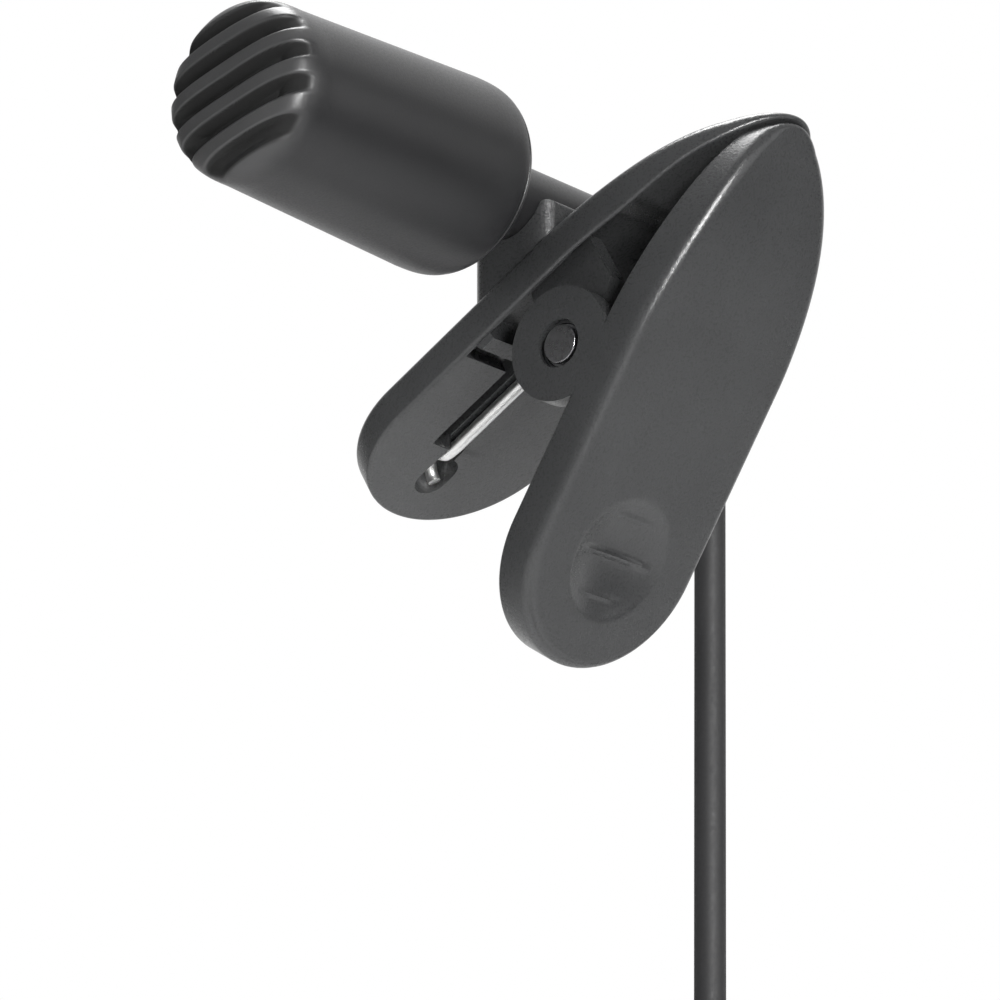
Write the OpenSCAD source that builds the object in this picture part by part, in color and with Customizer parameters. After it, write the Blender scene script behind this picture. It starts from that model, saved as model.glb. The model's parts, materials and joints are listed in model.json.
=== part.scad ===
// Lavalier microphone: a grooved microphone head held in a spring clip,
// with its cord put away in a hank and ended in a 3.5 mm jack plug.
// Everything is drawn about the hinge pin and then moved, so that the
// origin lies where the two jaws meet.

/* [Clip] */
// Width of both leaves
clip_w = 15; // [13.5:0.5:18]
// Angle of the back leaf above the horizontal
back_tilt = 29.6; // [28:0.2:31]
// Angle of the front leaf above the horizontal
front_tilt = 57; // [56:0.2:59]
// Pin axis to the inner face of the back leaf
back_inner = 4.7; // [4.6:0.1:5.1]
// Rise of the back leaf's inner face towards its jaw tip
jaw_rise = 0.65; // [0.4:0.05:0.8]
// Thickness of the back leaf
back_thick = 2.6; // [2.4:0.1:3]
// Pin axis to the inner face of the front leaf
front_inner = 2.7; // [2.6:0.05:2.9]
// Thickness of the front leaf
front_thick = 3.0; // [2.8:0.1:3.4]
// Thickness of each leaf at its jaw tip
tip_thick = 0.4; // [0.3:0.05:0.8]
// Pin axis to the jaw tips
jaw_len = 18.6; // [17:0.2:21]
// Pin axis to the end of the back handle
back_handle = 19.9; // [19:0.1:23]
// Pin axis to the end of the front handle
front_handle = 18.5; // [18:0.1:22]
// Rounding of the outer edges of the leaves
edge_r = 0.8; // [0.4:0.1:1]
// Rounding of the inner edges of the leaves
inner_edge_r = 0.25; // [0.1:0.05:0.4]
// Closed gap between the two jaw tips
jaw_gap = 0.1; // [0.05:0.05:0.3]
// Height of the two raised pads beside the hinge
pad_h = 0.4; // [0.2:0.05:0.5]

/* [Hinge] */
// Diameter of the hinge pin
pin_d = 2.8; // [2.4:0.1:3]
// Radial play of the pin in the turning ears
pin_fit = 0.05; // [0.02:0.01:0.1]
// Radius of the front leaf's ears
ear_r = 3.75; // [3.4:0.05:3.9]
// Thickness of each ear
ear_t = 1.4; // [1.1:0.1:1.7]
// Side play between neighbouring ears
ear_gap = 0.2; // [0.1:0.05:0.3]
// Radius of the back leaf's ears below the pin
back_ear_r = 2.4; // [2.1:0.05:2.45]
// Width of the countersunk ring round each end of the pin
sink_w = 0.2; // [0.1:0.05:0.4]
// Depth of that ring
sink_depth = 0.3; // [0.1:0.05:0.4]

/* [Spring] */
// Wire diameter of the spring
wire_d = 0.8; // [0.7:0.05:0.8]
// Mean radius of the spring's coil
coil_r = 2.0; // [1.95:0.01:2.05]
// Whole turns of the coil between its two legs
coil_turns = 2; // [1:1:2]
// Pitch of the coil
coil_pitch = 1.25; // [1.25:0.01:1.35]
// Side shift of the spring's first leg from the middle
leg_shift = 0.75; // [0.5:0.05:1.2]
// Width of the channel that each leg lies in
channel_w = 6.4; // [6:0.2:7.4]
// Depth of the channel
channel_depth = 0.7; // [0.6:0.05:0.85]

/* [Thumb rest] */
// Radius of the thumb scoop at the surface
scoop_r = 4.1; // [3.5:0.1:4.6]
// Depth of the thumb scoop
scoop_depth = 1.0; // [0.8:0.05:1.1]
// Pin axis to the middle of the scoop
scoop_s = 10.9; // [10.4:0.1:12]
// Spacing of the three grip ridges in the scoop
ridge_pitch = 2.7; // [2:0.05:2.9]
// Thickness of a grip ridge
ridge_t = 0.35; // [0.3:0.05:0.6]
// Height of a grip ridge above the scoop's middle
ridge_h = 0.3; // [0.2:0.05:0.4]
// Middle of the scoop to where the grip ridges fade out
ridge_reach = 3.2; // [3:0.1:3.4]

/* [Microphone head] */
// Diameter of the housing where the front dome begins
front_d = 11.5; // [11.4:0.1:12.5]
// Diameter of the housing where the rear rounding begins
rear_d = 12.85; // [12.6:0.05:13.5]
// Length of the housing
housing_len = 22.6; // [22:0.2:26]
// Length of the front dome
dome_len = 3.6; // [3.2:0.1:4]
// Length of the rear rounding
shoulder_len = 3.1; // [2.6:0.1:3.6]
// Number of sound grooves across the dome
groove_n = 5; // [3:2:5]
// Spacing of the sound grooves
groove_pitch = 2.0; // [1.9:0.02:2.1]
// Width of a sound groove
groove_w = 0.95; // [0.7:0.05:1.1]
// Depth of the sound grooves at the crown of the dome
groove_depth = 1.5; // [1.4:0.1:1.8]
// Turn of the grooves about the head's axis
groove_turn = 15; // [0:1:45]
// Length of the rear cap's visible rim
cap_rim = 1.3; // [1.1:0.1:1.6]

/* [Microphone insert] */
// Diameter of the electret insert
insert_d = 9.7; // [9.4:0.1:9.8]
// Length of the electret insert
insert_len = 6.7; // [4.5:0.1:7]
// Radial play of the inner pieces in the housing's bore
bore_fit = 0.05; // [0.03:0.01:0.1]
// Thickness of the dust cloth behind the grooves
cloth_t = 0.4; // [0.2:0.05:0.5]
// Thickness of the felt on the insert
felt_t = 0.3; // [0.2:0.05:0.4]
// Thickness of the insert's circuit board
board_t = 0.8; // [0.6:0.1:1]
// Wall of the rubber sleeve behind the insert
sleeve_wall = 1.3; // [0.9:0.1:1.6]
// Diameter of each lead wire
lead_d = 0.5; // [0.4:0.05:0.6]

/* [Neck and cradle] */
// Pin axis to the neck's axis, along the back leaf
neck_s = 1.32; // [1:0.02:1.6]
// Height of the neck's axis over the outer face of the back leaf
neck_h = 4.23; // [4.05:0.02:4.6]
// Diameter of the neck
neck_d = 5.1; // [4.8:0.1:5.3]
// Radial play of the neck in the cradle
neck_fit = 0.06; // [0.03:0.01:0.1]
// Gap between the head and the near end of the cradle
head_gap = 3.8; // [3:0.1:5]
// Middle of the clip to the near end of the cradle
cradle_near = 7.2; // [6:0.1:7.4]
// Middle of the clip to the far end of the cradle
cradle_far = 5.2; // [4.4:0.1:5.6]
// Wall of the cradle round the neck
cradle_wall = 0.8; // [0.6:0.05:1]
// Rounding of the cradle's upright corners
cradle_corner = 2; // [1:0.1:2.5]
// Mouth edge of the cradle on the jaw side, as an angle
mouth_from = -15; // [-25:1:-5]
// Mouth edge of the cradle on the handle side, as an angle
mouth_to = 140; // [130:1:150]

/* [Cord and plug] */
// Diameter of the cord
cord_d = 2.1; // [1.8:0.1:2.1]
// Radial play of the cord in its bushes
cord_fit = 0.05; // [0.02:0.01:0.1]
// Length of the tapered strain relief
relief_len = 3.4; // [3:0.1:3.4]
// Straight run of the hank between its folds
hank_run = 30; // [28:1:34]
// Radius of the hank's innermost fold
hank_fold = 6; // [6:0.5:8]
// Spacing of neighbouring loops in one layer
loop_pitch = 2.8; // [2.8:0.05:3]
// Spacing of the hank's layers
layer_pitch = 2.55; // [2.55:0.05:2.8]
// How far the loops are drawn in at the waist
hank_waist = 4.4; // [3:0.2:4.6]
// Width of the tie round the hank
tie_w = 6; // [4:0.5:8]
// Thickness of the tie
tie_t = 0.8; // [0.5:0.1:1.2]
// Diameter of the plug's contacts
plug_d = 3.5; // [3.4:0.05:3.6]
// Length of the plug's contacts
plug_len = 14; // [13.5:0.25:15]
// Diameter of the plug's grip
grip_d = 7.4; // [7:0.1:9]
// Length of the plug's grip
grip_len = 13; // [12:0.5:18]
// Length of the plug's boot
boot_len = 8; // [7:0.5:12]

/* [Hidden] */

$fn = 48;
plastic = "#2b2b2c";
rubber = "#1e1e1f";
steel = "#b9bcc0";
brass = "#c8a14a";
cloth = "#3a3a3b";
board_green = "#2f6b46";
// Overshoot of a cut past the face that it leaves
over = 1;

// ---- derived sizes of the clip ----
closed_angle = front_tilt - back_tilt;
half_w = clip_w / 2;
back_outer = back_inner + back_thick;
front_outer = front_inner + front_thick;
back_tip_inner = back_inner + jaw_rise;
// Stations, from the pin, where the jaws begin to narrow and to thin
taper_start = 3;
rise_start = 7;
rise_end = 14;
back_thin_start = 8;
front_thin_start = 6;
// Exponents of the plan taper and of the thinning of each leaf
taper_power = 1.65;
back_thin_power = 3;
front_thin_power = 2.8;
pin_r = pin_d / 2;
ear_y = half_w - ear_t;
back_ear_y = ear_y - ear_gap - ear_t;
pin_len = clip_w - 0.2;
pin_chamfer = 0.15;
wire_r = wire_d / 2;
// Jaw contact point, which becomes the origin
grip_s = jaw_len - 1;
grip_x = grip_s * cos(back_tilt) - back_tip_inner * sin(back_tilt);
grip_z = grip_s * sin(back_tilt) + back_tip_inner * cos(back_tilt);

// ---- derived sizes of the head, along the neck's axis (Y) ----
neck_x = neck_s * cos(back_tilt) - (back_outer + neck_h) * sin(back_tilt);
neck_z = neck_s * sin(back_tilt) + (back_outer + neck_h) * cos(back_tilt);
neck_r = neck_d / 2;
head_rear = -cradle_near - head_gap;
head_front = head_rear - housing_len;
dome_y = head_front + dome_len;
shoulder_y = head_rear - shoulder_len;
seam_y = head_rear - cap_rim;
dome_power = 3.7;
// How far the grooves' floor dome is wider than the housing
groove_runout = 0.1;
shoulder_power = 4.4;
bore_r = insert_d / 2 + bore_fit;
bore_front = head_front + groove_depth - 0.1;
cloth_y = bore_front;
felt_y = cloth_y + cloth_t;
can_y = felt_y + felt_t;
board_y = can_y + insert_len;
sleeve_y = board_y + board_t;
spigot_len = 2.4;
spigot_y = seam_y - spigot_len;
cap_floor_y = spigot_y + 1.2;
neck_end = cradle_far + 0.2;
nipple_len = 1.6;
nipple_r = neck_r - 0.75;
relief_end = neck_end + relief_len;
cord_r = cord_d / 2;
lead_ring_r = 0.5;

// ---- cord route, from the neck's axis: [along Y, along Z] ----
// It leaves the strain relief level, bends down and hangs straight.
exit_y = relief_end;
drop_route = [[0, 0], [0.4, 0], [1.7, -0.2], [2.9, -0.7], [3.9, -1.4],
    [4.6, -2.5], [5.1, -3.6], [5.3, -5], [5.2, -10], [5.1, -15], [5, -20],
    [4.9, -25], [4.8, -30], [4.7, -35], [4.6, -40], [4.5, -45], [4.4, -50],
    [4.3, -55], [4.2, -60], [4.1, -65], [4.1, -70], [4.1, -74]];
cord_sides = 8;
route_end = drop_route[len(drop_route) - 1];
cord_y = exit_y + route_end.x;
hank_top_z = neck_z + route_end.y - cord_d;
hank_mid_z = hank_top_z - hank_run / 2;

// ---- hank: four layers that spiral in, out, in and out ----
loops_per_layer = 3.5;
first_turn = 3.125;
hank_turns = 2 * first_turn + 2 * loops_per_layer;
rings_per_loop = 24;
hank_sides = 6;
hank_y = cord_y - hank_fold - first_turn * loop_pitch;
tail_x = neck_x + 3 * layer_pitch;
tail_top_z = hank_top_z - hank_run - cord_d;
tail_len = 10;
plug_top_z = tail_top_z - tail_len;
sleeve_stud = 3;
flange_t = 0.8;
boot_spigot = 3;
tip_len = 0.3 * plug_len;
ring_len = 0.18 * plug_len;
insulator_len = 0.06 * plug_len;
barrel_len = plug_len - tip_len - ring_len - 2 * insulator_len;
rod_r = 0.5;
grip_wall = 1.3;

// ================= frames and helpers =================

// Moves a piece from the pin's frame to the jaw's frame.
module placed() {
    translate([-grip_x, 0, -grip_z]) children();
}

// Leaf frames: X along the leaf to the jaw tip, Z out of the clip.
module in_back_leaf() {
    rotate([0, -back_tilt, 0]) children();
}

module in_front_leaf() {
    rotate([0, -front_tilt, 0]) mirror([0, 0, 1]) children();
}

function back_point(s, y, t) = [s * cos(back_tilt) - t * sin(back_tilt), y,
    s * sin(back_tilt) + t * cos(back_tilt)];

function front_point(s, y, t) = [s * cos(front_tilt) + t * sin(front_tilt), y,
    s * sin(front_tilt) - t * cos(front_tilt)];

// Extrudes a shape drawn in X-Z along Y, from y0 to y1.
module along_y(y0, y1) {
    translate([0, y1, 0]) rotate([90, 0, 0]) linear_extrude(y1 - y0) children();
}

// Turns a profile of [radius, y] about the neck's axis.
module turned(profile, segments = 96) {
    translate([neck_x, 0, neck_z]) rotate([-90, 0, 0])
        rotate_extrude($fn = segments) polygon(profile);
}

module neck_tube(y0, y1, outer, inner) {
    turned([[inner, y0], [outer, y0], [outer, y1], [inner, y1]]);
}

function mirrored_back(points) =
    [for (i = [len(points) - 2:-1:1]) [points[i].x, -points[i].y]];

function unit(v) = v / norm(v);

// Direction of a path at point i.
function path_dir(path, i) =
    unit(path[min(i + 1, len(path) - 1)] - path[max(i - 1, 0)]);

// One ring of a tube, square to the path; side is a steady sideways vector.
function tube_ring(p, dir, side, r, sides) =
    let (a = unit(side - (side * dir) * dir), b = cross(dir, a))
    [for (k = [0:sides - 1]) p + r * (cos(360 * k / sides) * a + sin(360 * k / sides) * b)];

function band_faces(rings, n) =
    [for (j = [0:rings - 2], i = [0:n - 1], half = [0, 1])
        let (a = j * n + i, b = j * n + (i + 1) % n)
        half == 0 ? [a, a + n, b + n] : [a, b + n, b]];

// A tube of triangles along a path of points.
module tube(path, r, sides, side) {
    rings = len(path);
    points = [for (i = [0:rings - 1]) each tube_ring(path[i], path_dir(path, i), side, r, sides)];
    last = (rings - 1) * sides;
    caps = [for (k = [1:sides - 2], end = [0, 1])
        end == 0 ? [0, k, k + 1] : [last, last + k + 1, last + k]];
    polyhedron(points, concat(band_faces(rings, sides), caps));
}

function path_length(path) =
    [for (i = 0, sum = 0; i < len(path); sum = sum + (i + 1 < len(path) ?
        norm(path[i + 1] - path[i]) : 0), i = i + 1) sum][len(path) - 1];

// Least distance between points of a path that are over skip steps apart.
function least_spacing(path, skip) =
    min([for (i = [0:len(path) - 1 - skip], j = [i + skip:len(path) - 1]) norm(path[i] - path[j])]);

// ================= leaves =================

// Half of a leaf's outline, from the jaw tip round to the handle's end.
// The jaw narrows as a rounded point and the handle ends in a half circle.
jaw_steps = 12;
handle_steps = 9;

function leaf_half(handle) = concat(
    [for (k = [0:jaw_steps]) let (u = 1 - pow(k / jaw_steps, 2))
        [taper_start + (jaw_len - taper_start) * u, half_w * sqrt(1 - pow(u, taper_power))]],
    [for (k = [0:handle_steps]) let (a = 90 * k / handle_steps)
        [half_w - handle - half_w * sin(a), k == handle_steps ? 0 : half_w * cos(a)]]);

function leaf_ring(handle) =
    let (half = leaf_half(handle)) concat(half, mirrored_back(half));

// The ring drawn in by d[i] along its normal at each point.
function inset_ring(ring, d) =
    [for (i = [0:len(ring) - 1])
        let (n = len(ring), along = unit(ring[(i + 1) % n] - ring[(i + n - 1) % n]))
        ring[i] - d[i] * [along.y, -along.x]];

// A leaf as stacked outlines between its inner and its outer face. The
// faces follow the two functions of the distance from the pin, and the
// outer edge is rounded in steps all the way round.
module leaf_body(handle, inner, outer) {
    ring = leaf_ring(handle);
    n = len(ring);
    thick = [for (p = ring) outer(p.x) - inner(p.x)];
    low_r = [for (t = thick) min(inner_edge_r, 0.3 * t)];
    high_r = [for (t = thick) min(edge_r, 0.6 * t)];
    round_steps = 4;
    low = [for (a = [0, 90])
        let (flat = inset_ring(ring, (1 - sin(a)) * low_r))
        [for (i = [0:n - 1]) [flat[i].x, flat[i].y, inner(ring[i].x) + (1 - cos(a)) * low_r[i]]]];
    high = [for (k = [0:round_steps])
        let (a = 90 * k / round_steps, flat = inset_ring(ring, (1 - cos(a)) * high_r))
        [for (i = [0:n - 1]) [flat[i].x, flat[i].y, outer(ring[i].x) - (1 - sin(a)) * high_r[i]]]];
    layers = concat(low, high);
    top = (len(layers) - 1) * n;
    m = n / 2;
    strips = [for (k = [0:m - 1], half = [0, 1])
        let (a = k, b = (n - k) % n, a2 = k + 1, b2 = n - k - 1)
        if (!(half == 0 && k == m - 1) && !(half == 1 && k == 0))
            half == 0 ? [a2, b, b2] : [a, b, a2]];
    caps = concat([for (f = strips) f + top * [1, 1, 1]], [for (f = strips) [f.z, f.y, f.x]]);
    polyhedron([for (l = layers) each l], concat(band_faces(len(layers), n), caps));
}

function ramp(v) = let (c = max(0, min(1, v))) c * c * (3 - 2 * c);

function back_face_in(s) = back_inner + jaw_rise * ramp((s - rise_start) / (rise_end - rise_start));

function back_face_out(s) = back_outer - (back_outer - back_tip_inner - tip_thick)
    * pow(max(0, (s - back_thin_start) / (jaw_len - back_thin_start)), back_thin_power);

// Where the front jaw meets the back one, its inner face follows it.
function front_face_in(s) = max(front_inner,
    (s * sin(closed_angle) - back_tip_inner + jaw_gap) / cos(closed_angle));

front_tip_out = front_face_in(jaw_len) + tip_thick;

function front_face_out(s) = front_outer - (front_outer - front_tip_out)
    * pow(max(0, (s - front_thin_start) / (jaw_len - front_thin_start)), front_thin_power);

// Places children at both ears, mirrored about the middle.
module both_sides() {
    children();
    mirror([0, 1, 0]) children();
}

channel_end = 13.2;
channel_start = 2;
hole_s = 15.85;
hole_len = 3.3;
hole_w = 2.4;
hole_shift = 0.4;
slot_extra = 0.25;
web_front = 4.65;
web_back = 4;
pad_end = 5.5;
notch_w = 0.95;
notch_depth = 0.5;
notch_from = 4;
pad_margin = 0.4;
pad_root = 0.2;

// The wide web that carries each of the back leaf's ears.
module back_ear() {
    along_y(back_ear_y, back_ear_y + ear_t) {
        circle(r = back_ear_r);
        polygon([[-back_ear_r, 0], [back_ear_r, 0], [web_front, 2.2],
            [web_front, back_inner + 0.5], [-web_back, back_inner + 0.5]]);
    }
}

// The oval hole that takes the bent end of the spring's leg.
module wire_hole() {
    mid_y = -leg_shift + hole_shift;
    for (k = [-1, 1])
        translate([-hole_s + k * (hole_len - hole_w) / 2, mid_y, 0])
            cylinder(d = hole_w, h = back_outer + over);
    translate([-hole_s - (hole_len - hole_w) / 2, mid_y - hole_w / 2, 0])
        cube([hole_len - hole_w, hole_w, back_outer + over]);
}

// The spring leg's channel. From its middle the floor slopes to far_depth
// at the other side, which is 0 where it fades out into the leaf's face.
module leg_channel(face, far_depth) {
    low = face + channel_depth;
    side = channel_w / 2;
    rotate([90, 0, 90]) translate([0, 0, -channel_end]) linear_extrude(channel_end - channel_start)
        polygon([[-side, 0], [side, 0], [side, face + far_depth], [0, low], [-side, low]]);
}

// The straight slot that the wire itself lies in, down to its hole.
module wire_slot() {
    translate([-hole_s, -leg_shift - wire_d, 0])
        cube([hole_s - channel_start, 2 * wire_d, back_inner + channel_depth + slot_extra]);
}

// A short groove across the inner face, behind each pad.
module pad_notch() {
    translate([-pad_end - notch_w, notch_from, 0])
        cube([notch_w, half_w - pad_margin - notch_from, back_inner + notch_depth]);
}

// The block that the neck snaps into: upright flanks, a round bore, and
// a mouth between two rounded lips.
cradle_bore = neck_r + neck_fit;
cradle_r = cradle_bore + cradle_wall;
mouth_reach = 3 * cradle_r;

module cradle_outline() {
    lip_r = cradle_wall / 2;
    difference() {
        union() {
            circle(r = cradle_r, $fn = 96);
            translate([-cradle_r, -neck_z]) square([2 * cradle_r, neck_z]);
        }
        circle(r = cradle_bore, $fn = 96);
        polygon([[0, 0], for (k = [0:4]) let (a = mouth_from + k * (mouth_to - mouth_from) / 4)
            mouth_reach * [cos(a), sin(a)]]);
    }
    for (a = [mouth_from, mouth_to])
        translate((cradle_bore + lip_r) * [cos(a), sin(a)]) circle(r = lip_r, $fn = 24);
}

module rounded_plan(w, l, r) {
    for (i = [-1, 1], j = [-1, 1]) translate([i * (w / 2 - r), j * (l / 2 - r)]) circle(r = r);
    square([w - 2 * r, l], center = true);
    square([w, l - 2 * r], center = true);
}

module cradle() {
    long = cradle_near + cradle_far;
    intersection() {
        translate([neck_x, 0, neck_z]) along_y(-cradle_near, cradle_far) cradle_outline();
        translate([neck_x, (cradle_far - cradle_near) / 2, 0])
            linear_extrude(neck_z + 2 * cradle_r)
                rounded_plan(2 * cradle_r, long, min(cradle_corner, cradle_r - 0.1));
        in_back_leaf() translate([-clip_w, -clip_w, back_outer - edge_r - 0.3])
            cube(2 * clip_w);
    }
}

module back_leaf() {
    color(plastic) placed() difference() {
        union() {
            in_back_leaf() {
                leaf_body(back_handle, function (s) back_face_in(s), function (s) back_face_out(s));
                both_sides() back_ear();
                translate([-pad_end, -half_w + pad_margin, back_inner - pad_h])
                    cube([pad_end + web_front, clip_w - 2 * pad_margin, pad_h + pad_root]);
            }
            cradle();
        }
        in_back_leaf() {
            leg_channel(back_inner, 0);
            wire_hole();
            wire_slot();
            both_sides() pad_notch();
        }
        rotate([90, 0, 0]) cylinder(r = pin_r, h = clip_w, center = true);
    }
}

// A shallow bowl turned from an arc, with its rim at height 0, carried up
// past the leaf's face.
module bowl(ball_r, depth) {
    rim = acos(1 - depth / ball_r);
    steps = 7;
    rotate_extrude($fn = 96) polygon(concat([[0, over]],
        [for (k = [0:steps]) let (a = rim * k / steps) [ball_r * sin(a), ball_r - depth - ball_r * cos(a)]],
        [[ball_r * sin(rim), over]]));
}

// Radius of the ball whose cap of radius r is h high.
function ball_radius(r, h) = (r * r + h * h) / (2 * h);

// The thumb rest: a bowl cut out of the handle, with ridges left in it
// whose tops follow a flatter bowl, so that they fade out at both ends.
module thumb_scoop() {
    ball_r = ball_radius(scoop_r, scoop_depth);
    fade_drop = ball_r - sqrt(ball_r * ball_r - ridge_reach * ridge_reach);
    top_r = ball_radius(ridge_reach, fade_drop - ridge_h);
    translate([-scoop_s, 0, front_outer]) difference() {
        bowl(ball_r, scoop_depth);
        difference() {
            for (k = [-1:1]) translate([k * ridge_pitch - ridge_t / 2, -clip_w, -2 * scoop_depth])
                cube([ridge_t, 2 * clip_w, 4 * scoop_depth]);
            bowl(top_r, scoop_depth - ridge_h);
        }
    }
}

module front_leaf() {
    color(plastic) placed() in_front_leaf() difference() {
        union() {
            leaf_body(front_handle, function (s) front_face_in(s), function (s) front_face_out(s));
            both_sides() along_y(ear_y, half_w) circle(r = ear_r, $fn = 96);
        }
        rotate([90, 0, 0]) cylinder(r = pin_r + pin_fit, h = clip_w + over, center = true);
        both_sides() along_y(half_w - sink_depth, half_w + over) circle(r = pin_r + sink_w);
        thumb_scoop();
        leg_channel(front_inner, channel_depth);
    }
}

module hinge_pin() {
    end = pin_len / 2;
    color(steel) placed() rotate([-90, 0, 0]) rotate_extrude()
        polygon([[0, -end], [pin_r - pin_chamfer, -end], [pin_r, -end + pin_chamfer],
            [pin_r, end - pin_chamfer], [pin_r - pin_chamfer, end], [0, end]]);
}

// ================= spring =================

// Height of a leg's wire over the pin, in its channel.
leg_lift = channel_depth - wire_r - 0.04;
leg_bend_s = 6.5;
back_leg_t = back_inner + leg_lift;
front_leg_t = front_inner + leg_lift;
wire_sides = 6;
rings_per_curl = 8;

// Angle at which a straight leg from [-leg_bend_s, t] touches the coil.
function touch_angle(t) = atan2(t, -leg_bend_s) - acos(coil_r / norm([leg_bend_s, t]));

coil_from = back_tilt + touch_angle(back_leg_t);
coil_to = front_tilt - touch_angle(front_leg_t) - 360 * coil_turns;
coil_steps = round(rings_per_curl * (coil_from - coil_to) / 360);
coil_width = coil_pitch * (coil_from - coil_to) / 360;

// The first leg ends in a hook that dips into the leaf's hole: [towards the
// jaw from the hole's middle, depth under the leg].
hook = [[-0.75, 0.9], [-0.15, 1.1], [0.45, 0.9], [1.05, 0.35], [1.55, 0.05], [2.25, 0]];

spring_path = concat(
    [for (p = hook) back_point(p.x - hole_s, -leg_shift, back_leg_t + p.y)],
    [for (s = [10, leg_bend_s]) back_point(-s, -leg_shift, back_leg_t)],
    [for (k = [0:coil_steps]) let (a = coil_from + (coil_to - coil_from) * k / coil_steps)
        [coil_r * cos(a), -leg_shift + coil_width * k / coil_steps, coil_r * sin(a)]],
    [for (s = [leg_bend_s, 9.5, channel_end - 0.4])
        front_point(-s, -leg_shift + coil_width, front_leg_t)]);

module clip_spring() {
    color(steel) placed() tube(spring_path, wire_r, wire_sides, [0, 1, 0]);
}

// ================= microphone head =================

// Profile of a dome of radius r and length l, from its rim to its crown.
function dome_point(a, r, l) =
    [a < 90 ? r * pow(cos(a), 2 / dome_power) : 0, dome_y - l * pow(sin(a), 2 / dome_power)];

function shoulder_r(y) = rear_d / 2 * pow(max(0, 1 - pow(max(0, (y - shoulder_y) / shoulder_len),
    shoulder_power)), 1 / shoulder_power);

// Profile of the outside between two stations of the rear rounding.
function shoulder_part(y0, y1, steps) =
    [for (k = [0:steps]) let (y = y0 + (y1 - y0) * sin(90 * k / steps)) [shoulder_r(y), y]];

// The grooves' floors lie on a flatter dome, a little wider than the
// housing, so that each groove runs out before it reaches the side.
module sound_grooves() {
    floor_steps = 7;
    rim_gap = 0.2;
    difference() {
        translate([neck_x, 0, neck_z]) rotate([0, -groove_turn, 0])
            for (k = [0:groove_n - 1])
                translate([-front_d, head_front - over, (k - (groove_n - 1) / 2) * groove_pitch - groove_w / 2])
                    cube([2 * front_d, over + dome_len - rim_gap, groove_w]);
        turned(concat([[0, dome_y]], [for (k = [0:floor_steps])
            dome_point(90 * k / floor_steps, front_d / 2 + groove_runout, dome_len - groove_depth)]));
    }
}

module mic_housing() {
    dome_steps = 10;
    outside = concat([for (k = [dome_steps:-1:0]) dome_point(90 * k / dome_steps, front_d / 2, dome_len)],
        shoulder_part(shoulder_y, seam_y - 0.05, 4));
    inside = [[bore_r, seam_y - 0.05], [bore_r, bore_front], [0, bore_front]];
    color(plastic) placed() difference() {
        turned(concat(outside, inside));
        sound_grooves();
    }
}

module dust_cloth() {
    color(cloth) placed() neck_tube(cloth_y, felt_y, insert_d / 2, 0);
}

module insert_felt() {
    color("dimgray") placed() neck_tube(felt_y, can_y, insert_d / 2 - 0.2, 0);
}

module insert_can() {
    can_wall = 0.3;
    port_r = 1;
    r = insert_d / 2;
    color(steel) placed() turned([[port_r, can_y], [r, can_y], [r, board_y], [r - can_wall, board_y],
        [r - can_wall, board_y - 0.6], [0, board_y - 0.6], [0, can_y + 1], [port_r, can_y + 1]]);
}

module insert_board() {
    color(board_green) placed() neck_tube(board_y, sleeve_y, insert_d / 2 - 0.3, 0);
}

module insert_sleeve() {
    color(rubber) placed()
        neck_tube(sleeve_y, spigot_y, insert_d / 2, insert_d / 2 - sleeve_wall);
}

// Three leads run from the board to the end of the cord.
module lead_wires() {
    color("firebrick") placed() for (a = [90, 210, 330])
        translate([neck_x + lead_ring_r * cos(a), 0, neck_z + lead_ring_r * sin(a)])
            along_y(sleeve_y, spigot_y + 0.4) circle(d = lead_d, $fn = 24);
}

// The rear cap: a rim that carries on the housing's curve, a spigot in
// its bore, and the neck, which swells a little towards the head.
module rear_cap() {
    fillet = 0.5;
    root_r = neck_r + 0.15;
    // The neck widens over this length behind the cradle
    swell_end = head_rear + 2.4;
    rim = shoulder_part(seam_y + 0.05, head_rear, 6);
    corner = [for (k = [0:4]) let (a = 90 * k / 4)
        [root_r + fillet * (1 - sin(a)), head_rear + fillet * (1 - cos(a))]];
    outside = concat([[bore_r - 0.03, spigot_y], [bore_r - 0.03, seam_y + 0.05]],
        [for (k = [0:4]) rim[k]], [[shoulder_r(head_rear - 0.04), head_rear]], corner,
        [[neck_r, swell_end], [neck_r, neck_end], [nipple_r, neck_end],
        [nipple_r, neck_end + nipple_len]]);
    inside = [[cord_r + cord_fit, neck_end + nipple_len], [cord_r + cord_fit, cap_floor_y],
        [cord_r + 0.9, cap_floor_y], [cord_r + 0.9, spigot_y]];
    color(plastic) placed() turned(concat(outside, inside));
}

module cord_crimp() {
    color(brass) placed()
        neck_tube(spigot_y + 0.1, cap_floor_y, cord_r + 0.8, cord_r);
}

module cord_in_neck() {
    color(rubber) placed() neck_tube(spigot_y + 0.4, exit_y, cord_r, 0);
}

// A soft bush over the nipple, tapered down to the cord.
module strain_relief() {
    flange_r = neck_r + 0.5;
    flange = 0.6;
    mouth_r = cord_r + 0.45;
    color(rubber) placed() turned([[nipple_r, neck_end], [flange_r, neck_end],
        [flange_r, neck_end + flange], [neck_r - 0.2, neck_end + flange + 0.3],
        [mouth_r, relief_end], [cord_r + cord_fit, relief_end],
        [cord_r + cord_fit, neck_end + nipple_len], [nipple_r, neck_end + nipple_len]]);
}

// ================= cord =================

module cord_drop() {
    path = [for (p = drop_route) [neck_x, exit_y + p.x, neck_z + p.y]];
    color(rubber) placed() tube(path, cord_r, cord_sides, [1, 0, 0]);
}

// Steady spiral: the loop's radius falls and rises by one pitch a turn.
function hank_radius(u) = hank_fold
    + loop_pitch * abs((u - first_turn + 3 * loops_per_layer) % (2 * loops_per_layer) - loops_per_layer);

// How far the runs are drawn in at height z over the hank's middle.
function waist(z) = hank_waist * pow(cos(180 * z / hank_run), 2);

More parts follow.
